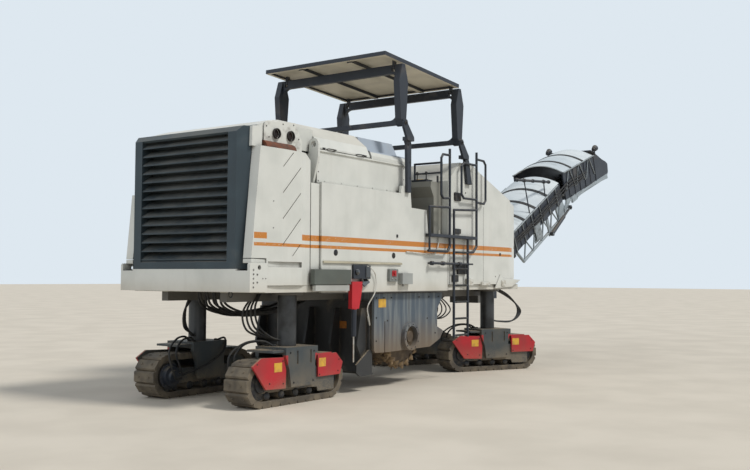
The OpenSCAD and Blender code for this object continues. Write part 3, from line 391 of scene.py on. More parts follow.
def truss_of(section, below):
    """A mask of the bars that lie under a height in a conveyor section's own directions."""
    x0, z0, angle = section
    cos, sin = math.cos(math.radians(angle)), math.sin(math.radians(angle))

    def mask(place):
        x, y, z = axes(place)
        over = (z - z0) * cos - (x - rear_x - x0) * sin
        return (1 - ramp_up(over, below - 0.004, below + 0.004)) * ramp_up(abs(y), 0.52, 0.53)

    return mask


AREAS = {
    "side_controls": (
        (region((1.2, 2.045), (1.6, 1.83)), look(92, 98, 92)),
        (region((1.2, 2.045), (1.5, 1.6)), look(186, 188, 184)),
        (region((2.05, 2.33), (1.25, 1.66)), look(196, 26, 40)),
        (region((3.05, 3.3), (1.64, 1.85)), look(128, 132, 130)),
        (region((3.35, 3.66), (1.6, 1.79)), look(164, 168, 166)),
        (region((1.46, 3.44), (1.905, 1.945)), look(196, 190, 168)),
    ),
    "consoles": ((region(None, (2.3, 3.325)), CONSOLE_GREY),),
    "platform": ((region((3.72, 3.82), (2.36, 3.6)), CONSOLE_GREY),),
    "canopy_roof": ((facing_down, ROOF_BEIGE),),
    "conveyor_lower": ((truss_of(LOWER, 0.225), TRUSS_GREY),),
    "conveyor_upper": ((truss_of(UPPER, 0.215), TRUSS_GREY),),
}
for node, areas in AREAS.items():
    dress([node], finish(node + "_paint", dark_paint, BLACK_PAINT, 0.35, WORN_BLACK, areas))
print("nodes with areas", list(AREAS))

# %% [markdown]
# The drum housing and edge plates carry the same blue-grey as the frame, but splashed milled material
# has dried on them in runs, so their streaks are strong and the lower part is mostly earth.

# %% Streaked housing
def streaked_housing(place):
    z = axes(place)[2]
    clouds, specks, edge, rounded, gap = wear(place, 2.0, 45.0, 0.006, 0.12, 4.0)
    runs = noise(place, 9.0, 5.0, (1.0, 1.0, 0.08))
    colour = mix(ramp_up(runs, 0.42, 0.62), HOUSING_PAINT, look(122, 130, 134))
    colour = mix(ramp_up(runs, 0.55, 0.75) * 0.8, colour, look(66, 74, 82))
    low = 1 - ramp_up(z + 0.35 * clouds, 0.65, 1.35)
    colour = mix(low * 0.85 | ramp_up(gap, 0.25, 0.8) * 0.6, colour, EARTH)
    colour = mix(ramp_up(edge * 1.5 + specks * 0.6, 0.60, 0.70), colour, RUST)
    return colour, 0.55 + 0.3 * low + 0.1 * clouds, specks * 0.35 * low + runs * 0.1, rounded


dress(["drum_housing", "edge_plate_right", "edge_plate_left"], finish("streaked_housing", streaked_housing))

# %% [markdown]
# Track frames are dark grey-green, with red guards bolted to their outer side. The guards are part of
# the same steel, so the red is a mask again: this time in each unit's own directions, which a Mapping
# node works out from the place and the steered angle of the unit.

# %% Track frames with red guards
UNITS = {
    # along, across, and the steered angle in degrees
    "rear_right": (1.14, -0.87, 0.0),
    "rear_left": (1.14, 0.87, 0.0),
    "front_right": (6.90, -0.87, -25.0),
    "front_left": (6.90, 0.87, -25.0),
}
GUARD_SIDE = 0.219
GUARD_ENDS = 0.285
GUARD_TOP = 0.668


def track_frame_paint(place, unit):
    """The paint of one unit, because the guards' place depends on where the unit stands."""
    along, across, steered = UNITS[unit]
    local = place
    for step in ({"Location": (-(along + rear_x), -across, 0.0)}, {"Rotation": (0.0, 0.0, math.radians(-steered))}):
        local = place.node("ShaderNodeMapping", {"vector_type": "POINT"}, {"Vector": local, **step})
    x, y, z = axes(local)
    clouds, specks, edge, rounded, gap = wear(place, 3.0, 60.0, 0.005, 0.08)
    guard = ramp_up(y * math.copysign(1.0, across), GUARD_SIDE - 0.002, GUARD_SIDE)
    guard = guard * ramp_up(abs(x), GUARD_ENDS, GUARD_ENDS + 0.005) * (1 - ramp_up(z, GUARD_TOP, GUARD_TOP + 0.002))
    colour = mix(ramp_up(clouds, 0.35, 0.7), FRAME_PAINT, look(84, 84, 80))
    colour = mix(guard, colour, mix(ramp_up(clouds, 0.3, 0.8), GUARD_RED, look(150, 52, 52)))
    paled = upward(place) * 0.8 | ramp_up(gap, 0.2, 0.8) * 0.6 | (1 - ramp_up(z, 0.1, 0.5)) * 0.6
    paled = paled * ramp_up(specks + clouds, 0.7, 1.15)
    colour = mix(paled, colour, look(150, 134, 110))
    chips = ramp_up(edge * 1.5 + specks * 0.6, 0.60, 0.70)
    colour = mix(chips * 0.8, colour, look(104, 92, 80))
    return colour, 0.5 + 0.35 * paled, clouds * 0.2 + specks * 0.1, rounded


for unit in UNITS:
    dress(["track_frame_" + unit], finish("track_frame_" + unit, track_frame_paint, unit))
print("track frames", list(UNITS))

# %% [markdown]
# Shoes and drum tools never keep paint. They are dark steel, polished where they touch the ground and
# packed with dried earth everywhere else.

# %% Ground steel
def ground_steel(place, base, dirt):
    clouds, grit, edge, rounded, gap = wear(place, 5.0, 90.0, 0.006, 0.07, 4.0)
    colour = mix(ramp_up(clouds, 0.35, 0.7), base, dirt)
    colour = mix(ramp_up(gap, 0.15, 0.7) * 0.7, colour, look(112, 98, 78))
    colour = mix(ramp_up(edge * 1.5 + grit * 0.5, 0.5, 0.64), colour, BARE_STEEL)
    return colour, 0.6 + 0.3 * clouds, clouds * 0.5 + grit * 0.4, rounded


finish("track_steel", ground_steel, look(82, 76, 68), look(122, 112, 96), Metallic=0.2)
finish("drum_steel", ground_steel, look(84, 72, 60), look(128, 112, 90), Metallic=0.2)
dress(["track_" + unit for unit in UNITS], finishes["track_steel"])
dress(["milling_drum"], finishes["drum_steel"])

# %% [markdown]
# Rods and columns are turned steel with an oil film. The exhaust is a rusty shield with two sooty outlets
# over it and a white plate behind.

# %% Turned steel and rust
SHIELD_TOP = 3.522
PLATE_SIDE = 1.0585


def oiled_steel(place):
    clouds = noise(place, 4.0)
    rings = noise(place, 30.0, 2.0, (0.3, 0.3, 4.0))
    colour = mix(ramp_up(clouds, 0.4, 0.7), look(74, 76, 78), look(52, 52, 52))
    colour = mix(ramp_up(hollows(place, 0.08), 0.3, 0.8), colour, look(60, 52, 44))
    return colour, 0.28 + 0.25 * clouds + 0.1 * rings, rings * 0.05, None


def burnt_rust(place):
    x, y, z = axes(place)
    clouds = noise(place, 8.0, 6.0)
    grit = noise(place, 80.0)
    colour = mix(ramp_up(clouds, 0.35, 0.65), RUST, look(84, 58, 48))
    colour = mix(ramp_up(grit, 0.55, 0.7) * 0.6, colour, look(140, 84, 50))
    above = ramp_up(z, SHIELD_TOP, SHIELD_TOP + 0.004)
    colour = mix(above, colour, mix(ramp_up(clouds, 0.4, 0.7), look(38, 34, 34), look(60, 54, 52)))
    flat = 1 - ramp_up(abs(y), PLATE_SIDE, PLATE_SIDE + 0.001)
    sooty = ramp_up(clouds + grit * 0.2, 0.55, 0.8) * 0.5
    colour = mix(flat, colour, mix(sooty, WHITE_PAINT, look(120, 112, 104)))
    return colour, 0.7 + 0.15 * clouds, clouds * 0.3 + grit * 0.3, None


dress(["column_" + unit for unit in UNITS] + ["lift_rods", "fold_rods"],
      finish("oiled_steel", oiled_steel, Metallic=0.6))
dress(["exhaust"], finish("burnt_rust", burnt_rust))

# %% [markdown]
# Twelve more finishes serve the small pieces. One recipe makes them all. They differ in their two colours,
# in how rough and grainy they are, and in the metal or clear coat that is set on the shader.

# %% Finishes of the small pieces
def speckled(place, base, worn, rough, grain):
    """Patches of wear, a fine grain, and dirt in the corners."""
    clouds = noise(place, 14.0)
    grit = noise(place, 160.0, 3.0)
    colour = mix(ramp_up(clouds, 0.42, 0.68), base, worn)
    colour = mix(ramp_up(hollows(place, 0.03), 0.3, 0.9) * 0.6, colour, look(74, 66, 56))
    return colour, rough + 0.25 * clouds, grit * grain, None


rubber = finish("rubber", speckled, look(26, 27, 29), look(56, 54, 50), 0.55, 0.15)
bright = finish("bright_steel", speckled, look(150, 150, 148), look(108, 104, 98), 0.25, 0.08, Metallic=0.7)
dark_steel = finish("dark_steel", speckled, look(40, 42, 46), look(70, 66, 60), 0.4, 0.15, Metallic=0.3)
yellow = finish("yellow_plate", speckled, PLATE_YELLOW, look(200, 150, 70), 0.4, 0.04)
orange = finish("orange_plate", speckled, look(170, 106, 40), look(130, 86, 44), 0.5, 0.04)
white = finish("white_fittings", speckled, look(214, 214, 208), look(186, 182, 170), 0.4, 0.06)
red = finish("red_fittings", speckled, look(196, 24, 36), look(150, 34, 38), 0.35, 0.05)
pale = finish("pale_steel", speckled, look(150, 158, 162), look(112, 118, 120), 0.4, 0.1, Metallic=0.3)
glass = finish("lamp_glass", speckled, look(206, 214, 216), look(176, 184, 186), 0.02, 0.02, **{"Coat Weight": 1.0})
soot = finish("soot", speckled, look(24, 20, 20), look(62, 42, 38), 0.8, 0.3)
tan = finish("dusty_steel", speckled, look(150, 128, 98), look(104, 88, 70), 0.65, 0.35)
screen = finish("dark_screen", speckled, look(18, 22, 26), look(34, 38, 42), 0.08, 0.01, **{"Coat Weight": 0.8})
print("finishes", len(finishes))

# %% [markdown]
# Every small piece is drawn by mesh code from rings of points. A tube is a ring swept along a path, a
# turned piece is a ring that changes its radius, and a plate is a ring of a rounded rectangle with a
# bevelled rim. All of them join ring to ring in the same way.

# %% Rings and what is made of them
FORE, LEFT, UP = Vector((1, 0, 0)), Vector((0, 1, 0)), Vector((0, 0, 1))
RIGHT = -LEFT
SIDES = {"right": -1.0, "left": 1.0}


def at(x, y, z):
    """A place, with x counted from the rear face of the machine."""
    return Vector((rear_x + x, y, z))


def join_rings(mesh, rings):
    """Faces from each ring to the next, and one face over each end."""
    count = len(rings[0])
    for low, high in zip(rings, rings[1:]):
        for k in range(count):
            mesh.faces.new((low[k], low[(k + 1) % count], high[(k + 1) % count], high[k]))
    mesh.faces.new(list(reversed(rings[0])))
    mesh.faces.new(rings[-1])


def arc(centre, side, other, count, turns=1.0):
    """A path round a centre, over one turn or part of one. The two vectors are its half axes."""
    angles = [2 * math.pi * turns * k / count for k in range(count + 1)]
    return [centre + side * math.cos(t) + other * math.sin(t) for t in angles]


def circle(mesh, centre, side, other, radius, count):
    return [mesh.verts.new(p) for p in arc(centre, side * radius, other * radius, count)[:-1]]


def turned(mesh, centre, axis, profile, count=20):
    """A turned piece. The profile is a row of (radius, height along the axis)."""
    axis = axis.normalized()
    side = axis.orthogonal().normalized()
    join_rings(mesh, [circle(mesh, centre + axis * h, side, axis.cross(side), r, count) for r, h in profile])


def tube(mesh, path, radius, count=8):
    """A round tube along a path. Its ring turns with the path and never twists."""
    side = None
    rings = []
    for i, centre in enumerate(path):
        ahead = (path[min(i + 1, len(path) - 1)] - path[max(i - 1, 0)]).normalized()
        side = ahead.orthogonal() if side is None else side
        side = (side - ahead * side.dot(ahead)).normalized()
        rings.append(circle(mesh, centre, side, ahead.cross(side), radius, count))
    join_rings(mesh, rings)


def bar(mesh, start, end, radius, count=8):
    """A straight tube."""
    tube(mesh, [start, (start + end) / 2, end], radius, count)


def curved(points, steps=6):
    """A smooth path through a few points: one cubic from each to the next, with shared slopes."""
    ends = [points[0] * 2 - points[1]] + list(points) + [points[-1] * 2 - points[-2]]
    path = []
    for a, b, c, d in zip(ends, ends[1:], ends[2:], ends[3:]):
        slope, bend, twist = c - a, a * 2 - b * 5 + c * 4 - d, b * 3 - a - c * 3 + d
        path += [(b * 2 + slope * t + bend * t ** 2 + twist * t ** 3) / 2 for t in (i / steps for i in range(steps))]
    return path + [points[-1]]


def rounded(width, height, corner, steps=4):
    """A rectangle with round corners, as pairs of across and up."""
    points = []
    for k, (sx, sy) in enumerate(((1, 1), (-1, 1), (-1, -1), (1, -1))):
        for turn in (math.radians(90 * (k + i / steps)) for i in range(steps + 1)):
            points.append((sx * (width / 2 - corner) + corner * math.cos(turn),
                           sy * (height / 2 - corner) + corner * math.sin(turn)))
    return points


def plate(mesh, centre, out, up, width, height, thick, corner=0.008, rim=0.002):
    """A plate or shallow box that stands out from its centre, with round corners and a bevelled rim."""
    out = out.normalized()
    across = up.cross(out).normalized()
    up = out.cross(across)
    rings = []
    for depth, inset in ((0.0, 0.0), (thick - rim, 0.0), (thick, rim)):
        shape = rounded(width - 2 * inset, height - 2 * inset, max(corner - inset, 0.0005))
        rings.append([mesh.verts.new(centre + out * depth + across * a + up * b) for a, b in shape])
    join_rings(mesh, rings)


def bolt(mesh, centre, out, size):
    """A washer and a hexagon head. The size is the washer's radius."""
    turned(mesh, centre, out, ((size, 0.0), (size, size * 0.15), (size * 0.9, size * 0.2)), 12)
    turned(mesh, centre + out.normalized() * size * 0.2, out,
           ((size * 0.72, 0.0), (size * 0.72, size * 0.5), (size * 0.58, size * 0.62)), 6)


print("drawing helpers ready")

# %% [markdown]
# Many pieces are rows of the same thing: plates on a side, turned pieces, bolts in a line or on a circle.
# A table says where each one stands, and one function draws the rows. Conveyor sections and track units
# lie aslant, so within() turns lengths in their own directions into a place.

# %% Rows, and a piece from its drawing
def side_plates(mesh, sides, rows):
    """Plates that face outward, from rows of x, distance from the middle, z and the plate's sizes."""
    for side in sides:
        for x, distance, z, *sizes in rows:
            plate(mesh, at(x, side * distance, z), LEFT * side, UP, *sizes)


def turned_rows(mesh, rows):
    """Turned pieces, from rows of a place, an axis, a profile and a count."""
    for place, axis, profile, count in rows:
        turned(mesh, at(*place), axis, profile, count)


def bolts_at(mesh, side, distance, size, places):
    """Bolts on one side, from pairs of x and z."""
    for x, z in places:
        bolt(mesh, at(x, side * distance, z), LEFT * side, size)


def bolt_ring(mesh, centre, out, ahead, radius, count, size, start=0.0):
    """Bolts on an upright circle, counted from ahead towards up."""
    for turn in (math.radians(start + 360 * k / count) for k in range(count)):
        bolt(mesh, centre + (ahead * math.cos(turn) + UP * math.sin(turn)) * radius, out, size)


def clamp(mesh, centre, radius, ridge, half):
    """A ring round a bar that runs ahead, with bevelled rims."""
    profile = ((radius, 0.0), (ridge, 0.01), (ridge, 2 * half - 0.01), (radius, 2 * half))
    turned(mesh, centre - FORE * half, FORE, profile, 14)


def within(local, *lengths):
    """A place in a local frame, which is an origin and three directions."""
    return local[0] + sum((way * length for way, length in zip(local[1:], lengths)), Vector())


def piece(name, body, material, slot, draw, *given):
    """One piece of the scene, on its body. A piece without a body stays where it is drawn."""
    mesh = bmesh.new()
    draw(mesh, *given)
    bmesh.ops.recalc_face_normals(mesh, faces=mesh.faces)
    data = bpy.data.meshes.new(name)
    mesh.to_mesh(data)
    mesh.free()
    data.shade_smooth()
    data.set_sharp_from_angle(angle=math.radians(40))
    data.materials.append(material)
    made = bpy.data.objects.new(name, data)
    bpy.context.scene.collection.objects.link(made)
    if body:
        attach(made, body)
    return made


BOTH = tuple(SIDES.values())
RIGHT_ONLY = (SIDES["right"],)
SIDE = 1.225
print("rows ready")

# %% [markdown]
# Bolts hold the tie-down plates, the corner panels, the bay's walls and the niche of the exhaust. Each row
# of the table is one line of them along a side: where it starts and ends, how many, and their size.

# %% Bolts of the body
BOLT_LINES = (
    # start x, start z, end x, end z, count, distance from the middle, size
    (0.07, 1.8, 0.07, 1.58, 5, SIDE, 0.013),
    (0.14, 1.74, 0.14, 1.64, 2, SIDE, 0.013),
    (0.245, 1.69, 0.3, 1.69, 2, SIDE, 0.009),
    (0.45, 2.7, 0.45, 2.35, 2, SIDE - 0.01, 0.009),
    (1.475, 3.06, 1.475, 3.44, 4, 1.13, 0.01),
    (3.64, 3.09, 3.64, 3.44, 3, 1.13, 0.01),
    (1.62, 3.06, 3.56, 3.06, 6, 1.13, 0.008),
    (6.56, 1.74, 6.78, 1.74, 2, SIDE, 0.012),
    (7.25, 1.64, 7.45, 1.64, 2, SIDE, 0.012),
)
NICHE_BOLTS = ((0.47, 3.7), (0.8, 3.765), (1.02, 3.78), (1.13, 3.6), (0.52, 3.56))


def body_bolts(mesh):
    for side in BOTH:
        for x0, z0, x1, z1, count, distance, size in BOLT_LINES:
            shares = [k / (count - 1) for k in range(count)]
            bolts_at(mesh, side, distance, size, [(x0 + (x1 - x0) * s, z0 + (z1 - z0) * s) for s in shares])


piece("body_bolts", "chassis", bright, "body_white", body_bolts)
piece("niche_bolts", "chassis", dark_steel, "rusty_steel", bolts_at, SIDES["right"], 1.058, 0.01, NICHE_BOLTS)

# %% [markdown]
# Narrow panels close the body beside the lifting plates, with sills under the corner panels. Along both
# sides there are round locks and small dark fittings. The right side also has a bar for the ladder, a white
# feed rod, boxes and brackets under the front body, a stop button with its keys, a sensor plate with its
# gear, and a white feeler rod.

# %% Fittings of the sides
EYE_PANELS = ((1.342, 1.17, 2.31, 0.19, 1.4, 0.02, 0.006, 0.003), (0.205, 1.05, 1.914, 0.29, 0.056, 0.14, 0.006, 0.003))
FRONT_BOXES = (
    (5.3, 1.18, 1.86, 0.3, 0.17, 0.075, 0.012, 0.006),
    (5.06, 1.18, 1.9, 0.11, 0.09, 0.085, 0.01, 0.005),
    (5.08, 1.18, 1.7, 0.2, 0.11, 0.07, 0.01, 0.005),
)
FRONT_BRACKETS = (
    (5.56, 1.2, 1.64, 0.24, 0.12, 0.06, 0.012, 0.004),
    (6.15, 1.2, 1.61, 0.3, 0.06, 0.06, 0.012, 0.004),
    (6.82, 1.2, 1.62, 0.16, 0.11, 0.06, 0.012, 0.004),
)
GREY_BOXES = tuple((5.155, SIDE, z, 0.2, height, 0.03, 0.012, 0.006) for z, height in ((3.1, 0.14), (2.51, 0.08)))
LOCKS = ((1.765, 2.06), (3.225, 2.05))
FITTINGS = tuple((x, SIDE, z, 0.03, 0.05, 0.016, 0.008, 0.004)
                 for x, z in ((7.306, 2.291), (6.732, 2.151), (3.317, 2.354)))
FEED_ROUTE = ((3.56, -1.24, 2.115), (3.9, -1.245, 2.106), (4.3, -1.25, 2.094), (4.45, -1.25, 2.15),
              (4.52, -1.25, 2.32), (4.56, -1.228, 2.5))
FEELER = (((2.155, -1.259, 0.862), -UP, ((0.016, 0.0), (0.01, 0.02), (0.01, 0.36), (0.006, 0.372)), 12),)
SENSORS = (
    ((2.23, -1.26, 1.79), RIGHT, ((0.045, 0.0), (0.045, 0.016), (0.032, 0.026)), 20),
    ((2.35, -1.26, 1.7), -UP, ((0.022, 0.0), (0.022, 0.08), (0.012, 0.1)), 14),
)
STOP_PROFILE = ((0.012, 0.0), (0.012, 0.01), (0.026, 0.012), (0.024, 0.022), (0.01, 0.026))
KEY_PROFILE = ((0.014, 0.0), (0.014, 0.008), (0.01, 0.012))
KEYS = (
    ((3.13, -1.269, 1.69), RIGHT, KEY_PROFILE, 16),
    ((3.22, -1.269, 1.69), RIGHT, KEY_PROFILE, 16),
    ((3.42, -1.27, 1.609), -UP, ((0.014, 0.0), (0.014, 0.03), (0.008, 0.036)), 12),
)


def side_bar(mesh):
    """The bar that holds the ladder while it hangs: a tube with three clamps."""
    start, end = at(4.23, -1.3, 1.95), at(5.12, -1.3, 1.95)
    bar(mesh, start, end, 0.022, 12)
    for centre in (start, start + FORE * 0.34, end):
        clamp(mesh, centre, 0.028, 0.036, 0.04)


def front_brackets(mesh):
    side_plates(mesh, RIGHT_ONLY, FRONT_BRACKETS)
    for x, distance, z, width, height, thick, *rest in FRONT_BRACKETS:
        bolts_at(mesh, SIDES["right"], distance + thick, 0.012, [(x + dx * width, z) for dx in (-0.35, 0.35)])


def side_locks(mesh):
    for side in BOTH:
        out = LEFT * side
        for x, z in LOCKS:
            centre = at(x, side * SIDE, z)
            turned(mesh, centre, out, ((0.045, 0.0), (0.045, 0.004), (0.036, 0.008), (0.034, 0.003)), 24)
            plate(mesh, centre + out * 0.004, out, FORE + UP, 0.012, 0.055, 0.01, 0.004)
    side_plates(mesh, BOTH, FITTINGS)


def sensor_plate(mesh):
    plate(mesh, at(2.42, -1.255, 1.64), RIGHT + UP * 0.9, FORE * -0.3 + UP, 0.23, 0.11, 0.014, 0.01, 0.004)
    side_plates(mesh, RIGHT_ONLY, ((2.5, 1.2595, 1.79, 0.11, 0.16, 0.012, 0.01, 0.004),))
    turned_rows(mesh, SENSORS)


def stop_button(mesh):
    side_plates(mesh, RIGHT_ONLY, ((3.175, 1.269, 1.775, 0.11, 0.09, 0.01, 0.012, 0.003),))
    turned(mesh, at(3.175, -1.279, 1.775), RIGHT, STOP_PROFILE)


piece("eye_panels", "chassis", finishes["body_white"], "body_white", side_plates, BOTH, EYE_PANELS)
piece("side_bar", "chassis", finishes["black_paint"], "black_metal", side_bar)
piece("feed_rod", "chassis", white, "body_white", tube, curved([at(*point) for point in FEED_ROUTE]), 0.01)
piece("front_boxes", "chassis", dark_steel, "console_grey", side_plates, RIGHT_ONLY, FRONT_BOXES)
piece("front_brackets", "chassis", white, "body_white", front_brackets)
piece("side_locks", "chassis", dark_steel, "black_metal", side_locks)
piece("grey_boxes", "chassis", dark_steel, "console_grey", side_plates, RIGHT_ONLY, GREY_BOXES)
piece("feeler_rod", "chassis", white, "body_white", turned_rows, FEELER)
piece("sensor_plate", "chassis", screen, "black_metal", sensor_plate)
piece("stop_button", "chassis", red, "black_metal", stop_button)
piece("stop_key", "chassis", bright, "console_grey", turned_rows, KEYS)
edge_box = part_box("edge_plate_right")
print("edge plate from", [round(v, 3) for v in edge_box[0]], "to", [round(v, 3) for v in edge_box[1]])

# %% [markdown]
# The edge plates float on the ground. Each has rows of bolts and a cover over the drum's hub in its round
# opening, and the right one a blank yellow plate. A blank orange plate sits on the scraper.

# %% Edge plates and the drum's hub
DRUM_X, DRUM_Z = 3.8, 0.78
PLATE_FACE = 1.134
EDGE_BOLTS = ((2.9, 1.4), (3.1, 1.4), (3.3, 1.4), (4.1, 1.4), (4.4, 1.4), (4.7, 1.4),
              (2.9, 1.1), (3.2, 1.05), (4.35, 1.05), (2.9, 0.75), (4.6, 0.8))
HUB_PROFILE = ((0.172, 0.006), (0.172, 0.024), (0.095, 0.03), (0.085, 0.066), (0.03, 0.071))
YELLOW_SIGN = ((3.055, PLATE_FACE, 1.32, 0.2, 0.13, 0.003, 0.008, 0.001),)


def edge_bolts(mesh, side):
    bolts_at(mesh, side, PLATE_FACE, 0.014, EDGE_BOLTS)
    bolt_ring(mesh, at(DRUM_X, side * (SIDE - 0.025), DRUM_Z), LEFT * side, FORE, 0.192, 10, 0.011, 10)


def hub_cover(mesh, side):
    out = LEFT * side
    centre = at(DRUM_X, side * 1.092, DRUM_Z)
    turned(mesh, centre, out, HUB_PROFILE, 32)
    bolt_ring(mesh, centre + out * 0.026, out, FORE, 0.135, 8, 0.012)


for label, side in SIDES.items():
    piece("edge_bolts_" + label, "edge_" + label, dark_steel, "housing_grey", edge_bolts, side)
    piece("hub_cover_" + label, "edge_" + label, finishes["drum_steel"], "worn_steel", hub_cover, side)
piece("yellow_sign", "edge_right", yellow, "housing_grey", side_plates, RIGHT_ONLY, YELLOW_SIGN)
piece("orange_sign", "scraper_body", orange, "black_metal", plate,
      at(2.795, -0.54, 0.985), -FORE, UP, 0.22, 0.11, 0.004, 0.008, 0.001)

# %% [markdown]
# A milling tool is a hard metal tip in a round shank, which turns in a holder. The solids have the shank and
# the cone. The scene adds the hexagon foot of each holder, the ring and the bright tip, along the same two
# helices. Round both rims of the drum it adds whole cutters, which crowd there and lean outward.

# %% Tools of the milling drum
TOOLS = 26
EDGE_TOOLS = 40
DRUM_BODY = 0.43
DRUM_HALF = 1.0
HOLDER_FOOT = ((0.068, 0.0), (0.068, 0.034), (0.056, 0.042))
HOLDER_RING = ((0.032, 0.0), (0.035, 0.004), (0.035, 0.01), (0.028, 0.014))
TIP = ((0.0125, 0.0), (0.0125, 0.004), (0.0075, 0.02), (0.0052, 0.0255))
CUTTER = ((0.06, 0.0), (0.056, 0.055), (0.04, 0.066), (0.03, 0.07), (0.026, 0.098), (0.012, 0.112), (0.005, 0.126))


def tool_rings(mesh, rows):
    """Turned pieces on every tool of both helices, from rows of a radius on the drum, a profile and a count."""
    for side in BOTH:
        for k in range(TOOLS):
            y = side * (DRUM_HALF - 0.04 - k * (DRUM_HALF - 0.1) / TOOLS)
            turn = math.radians(k * 63 + (30 if side > 0 else 0))
            out = FORE * math.sin(turn) + UP * math.cos(turn)
            for radius, profile, count in rows:
                turned(mesh, at(DRUM_X, y, DRUM_Z) + out * radius, out, profile, count)


def edge_cutters(mesh):
    for side in BOTH:
        for k in range(EDGE_TOOLS):
            turn = 2 * math.pi * k / EDGE_TOOLS
            out = FORE * math.cos(turn) + UP * math.sin(turn)
            foot = at(DRUM_X, side * (0.965 - 0.085 * (k % 2)), DRUM_Z) + out * (DRUM_BODY - 0.02)
            turned(mesh, foot, out + LEFT * side * 0.22 + out.cross(LEFT) * 0.35, CUTTER, 10)


piece("edge_cutters", "drum", tan, "worn_steel", edge_cutters)
piece("tool_holders", "drum", tan, "worn_steel", tool_rings,
      ((DRUM_BODY - 0.012, HOLDER_FOOT, 6), (0.487, HOLDER_RING, 14)))
piece("tool_tips", "drum", bright, "worn_steel", tool_rings, ((0.534, TIP, 10),))

# %% [markdown]
# A track unit gets its rollers' rims, a motor on the inner side, a toothed wheel, hoses over the yoke, shoe
# bolts and the blank plates on the red guards. All of it is drawn in the unit's own directions: along,
# outward and up.

# %% Track units
WHEEL_X = 0.705
AXLE_Z = 0.31
LOOP_RADIUS = 0.284
SHOES = 26
ROLLERS = 5
ROLLER_RIM = ((0.052, 0.0), (0.059, 0.012), (0.04, 0.03), (0.022, 0.034))
WHEEL_RIM = ((0.2, 0.0), (0.2, 0.012), (0.12, 0.02), (0.11, 0.04), (0.05, 0.046))
MOTOR = ((0.18, 0.0), (0.18, 0.055), (0.15, 0.065), (0.14, 0.12), (0.09, 0.128), (0.08, 0.165), (0.04, 0.17))
GUARD_FACE = 0.245
GUARD_BOLTS = (
    # distance outward, size, and pairs of along and up
    (GUARD_FACE, 0.011, ((-0.86, 0.585), (-0.62, 0.32), (-0.35, 0.3), (-0.36, 0.6), (0.42, 0.36), (0.84, 0.38),
                         (0.86, 0.54))),
    (0.275, 0.014, ((-0.24, 0.7), (0.26, 0.7), (-0.17, 0.3), (0.24, 0.3))),
)
HOSE_ROUTES = (
    # points along, inward and up, from the yoke to the motor
    ((-0.22, 0.16, 0.765), (-0.34, 0.22, 0.835), (-0.56, 0.27, 0.8), (-0.7, 0.31, 0.64), (-0.62, 0.32, 0.42),
     (-0.58, 0.305, 0.34)),
    ((-0.2, 0.05, 0.765), (-0.36, 0.12, 0.845), (-0.62, 0.22, 0.82), (-0.82, 0.3, 0.64), (-0.72, 0.325, 0.3),
     (-0.59, 0.305, 0.28)),
    ((0.2, 0.18, 0.765), (0.3, 0.27, 0.8), (0.22, 0.325, 0.62), (-0.05, 0.335, 0.47), (-0.35, 0.325, 0.38),
     (-0.57, 0.305, 0.325)),
)


def unit_frame(unit):
    """The place of a unit on the ground and its directions along, outward and up."""
    along, across, steered = UNITS[unit]
    turn = math.radians(steered)
    forward = FORE * math.cos(turn) + LEFT * math.sin(turn)
    outward = (LEFT * math.cos(turn) - FORE * math.sin(turn)) * math.copysign(1.0, across)
    return at(along, across, 0.0), forward, outward, UP


def shoe_bolts(mesh, unit):
    """Two bolts on every shoe of the loop, but not on the shoes that stand on the ground."""
    local = unit_frame(unit)
    forward, outward = local[1:3]
    run, bend = 2 * WHEEL_X, math.pi * LOOP_RADIUS
    for i in range(SHOES):
        way = (i + 0.49) * 2 * (run + bend) / SHOES - run
        if way < 0:
            continue
        if way < bend:
            wheel, turn = WHEEL_X, way / LOOP_RADIUS - math.pi / 2
        elif way > run + bend:
            wheel, turn = -WHEEL_X, (way - run - bend) / LOOP_RADIUS + math.pi / 2
        else:
            wheel, turn = WHEEL_X - (way - bend), math.pi / 2
        out = forward * math.cos(turn) + UP * math.sin(turn)
        centre = within(local, wheel, 0.0, AXLE_Z) + out * LOOP_RADIUS
        if centre.z + out.z * 0.04 < 0.06:
            continue
        for y in (-0.1, 0.1):
            turned(mesh, centre + outward * y + out * 0.018, out, ((0.016, 0.0), (0.016, 0.01), (0.012, 0.013)), 6)


def unit_gear(mesh, unit):
    """Rims of the rollers, the wheels with their bolts, and the bolts of the guards."""
    local = unit_frame(unit)
    forward, outward = local[1:3]
    for i in range(ROLLERS):
        x = -WHEEL_X + 0.12 + i * (2 * WHEEL_X - 0.24) / (ROLLERS - 1)
        for way in (1, -1):
            turned(mesh, within(local, x, way * 0.152, 0.148), outward * way, ROLLER_RIM, 18)
    for end in (-1, 1):
        turned(mesh, within(local, WHEEL_X * end, 0.14, AXLE_Z), outward, WHEEL_RIM, 28)
        bolt_ring(mesh, within(local, WHEEL_X * end, 0.152, AXLE_Z), outward, forward, 0.165, 14, 0.012)
    for distance, size, places in GUARD_BOLTS:
        for x, z in places:
            bolt(mesh, within(local, x, distance, z), outward, size)


def unit_motor(mesh, unit):
    """The drive motor on the inner side, with its round cover and two ports."""
    local = unit_frame(unit)
    forward, outward = local[1:3]
    turned(mesh, within(local, -WHEEL_X, -0.14, AXLE_Z), -outward, MOTOR, 28)
    bolt_ring(mesh, within(local, -WHEEL_X, -0.2, AXLE_Z), -outward, forward, 0.163, 10, 0.011)
    for z in (0.03, -0.03):
        port = within(local, -WHEEL_X, -0.29, AXLE_Z + z)
        turned(mesh, port, forward, ((0.02, 0.06), (0.02, 0.12), (0.014, 0.14)), 12)


def unit_hoses(mesh, unit):
    local = unit_frame(unit)
    for route in HOSE_ROUTES:
        path = [within(local, along, -inward, up) for along, inward, up in route]
        tube(mesh, curved(path), 0.015)
        turned(mesh, path[0], UP, ((0.026, 0.004), (0.026, 0.022), (0.019, 0.03)), 12)


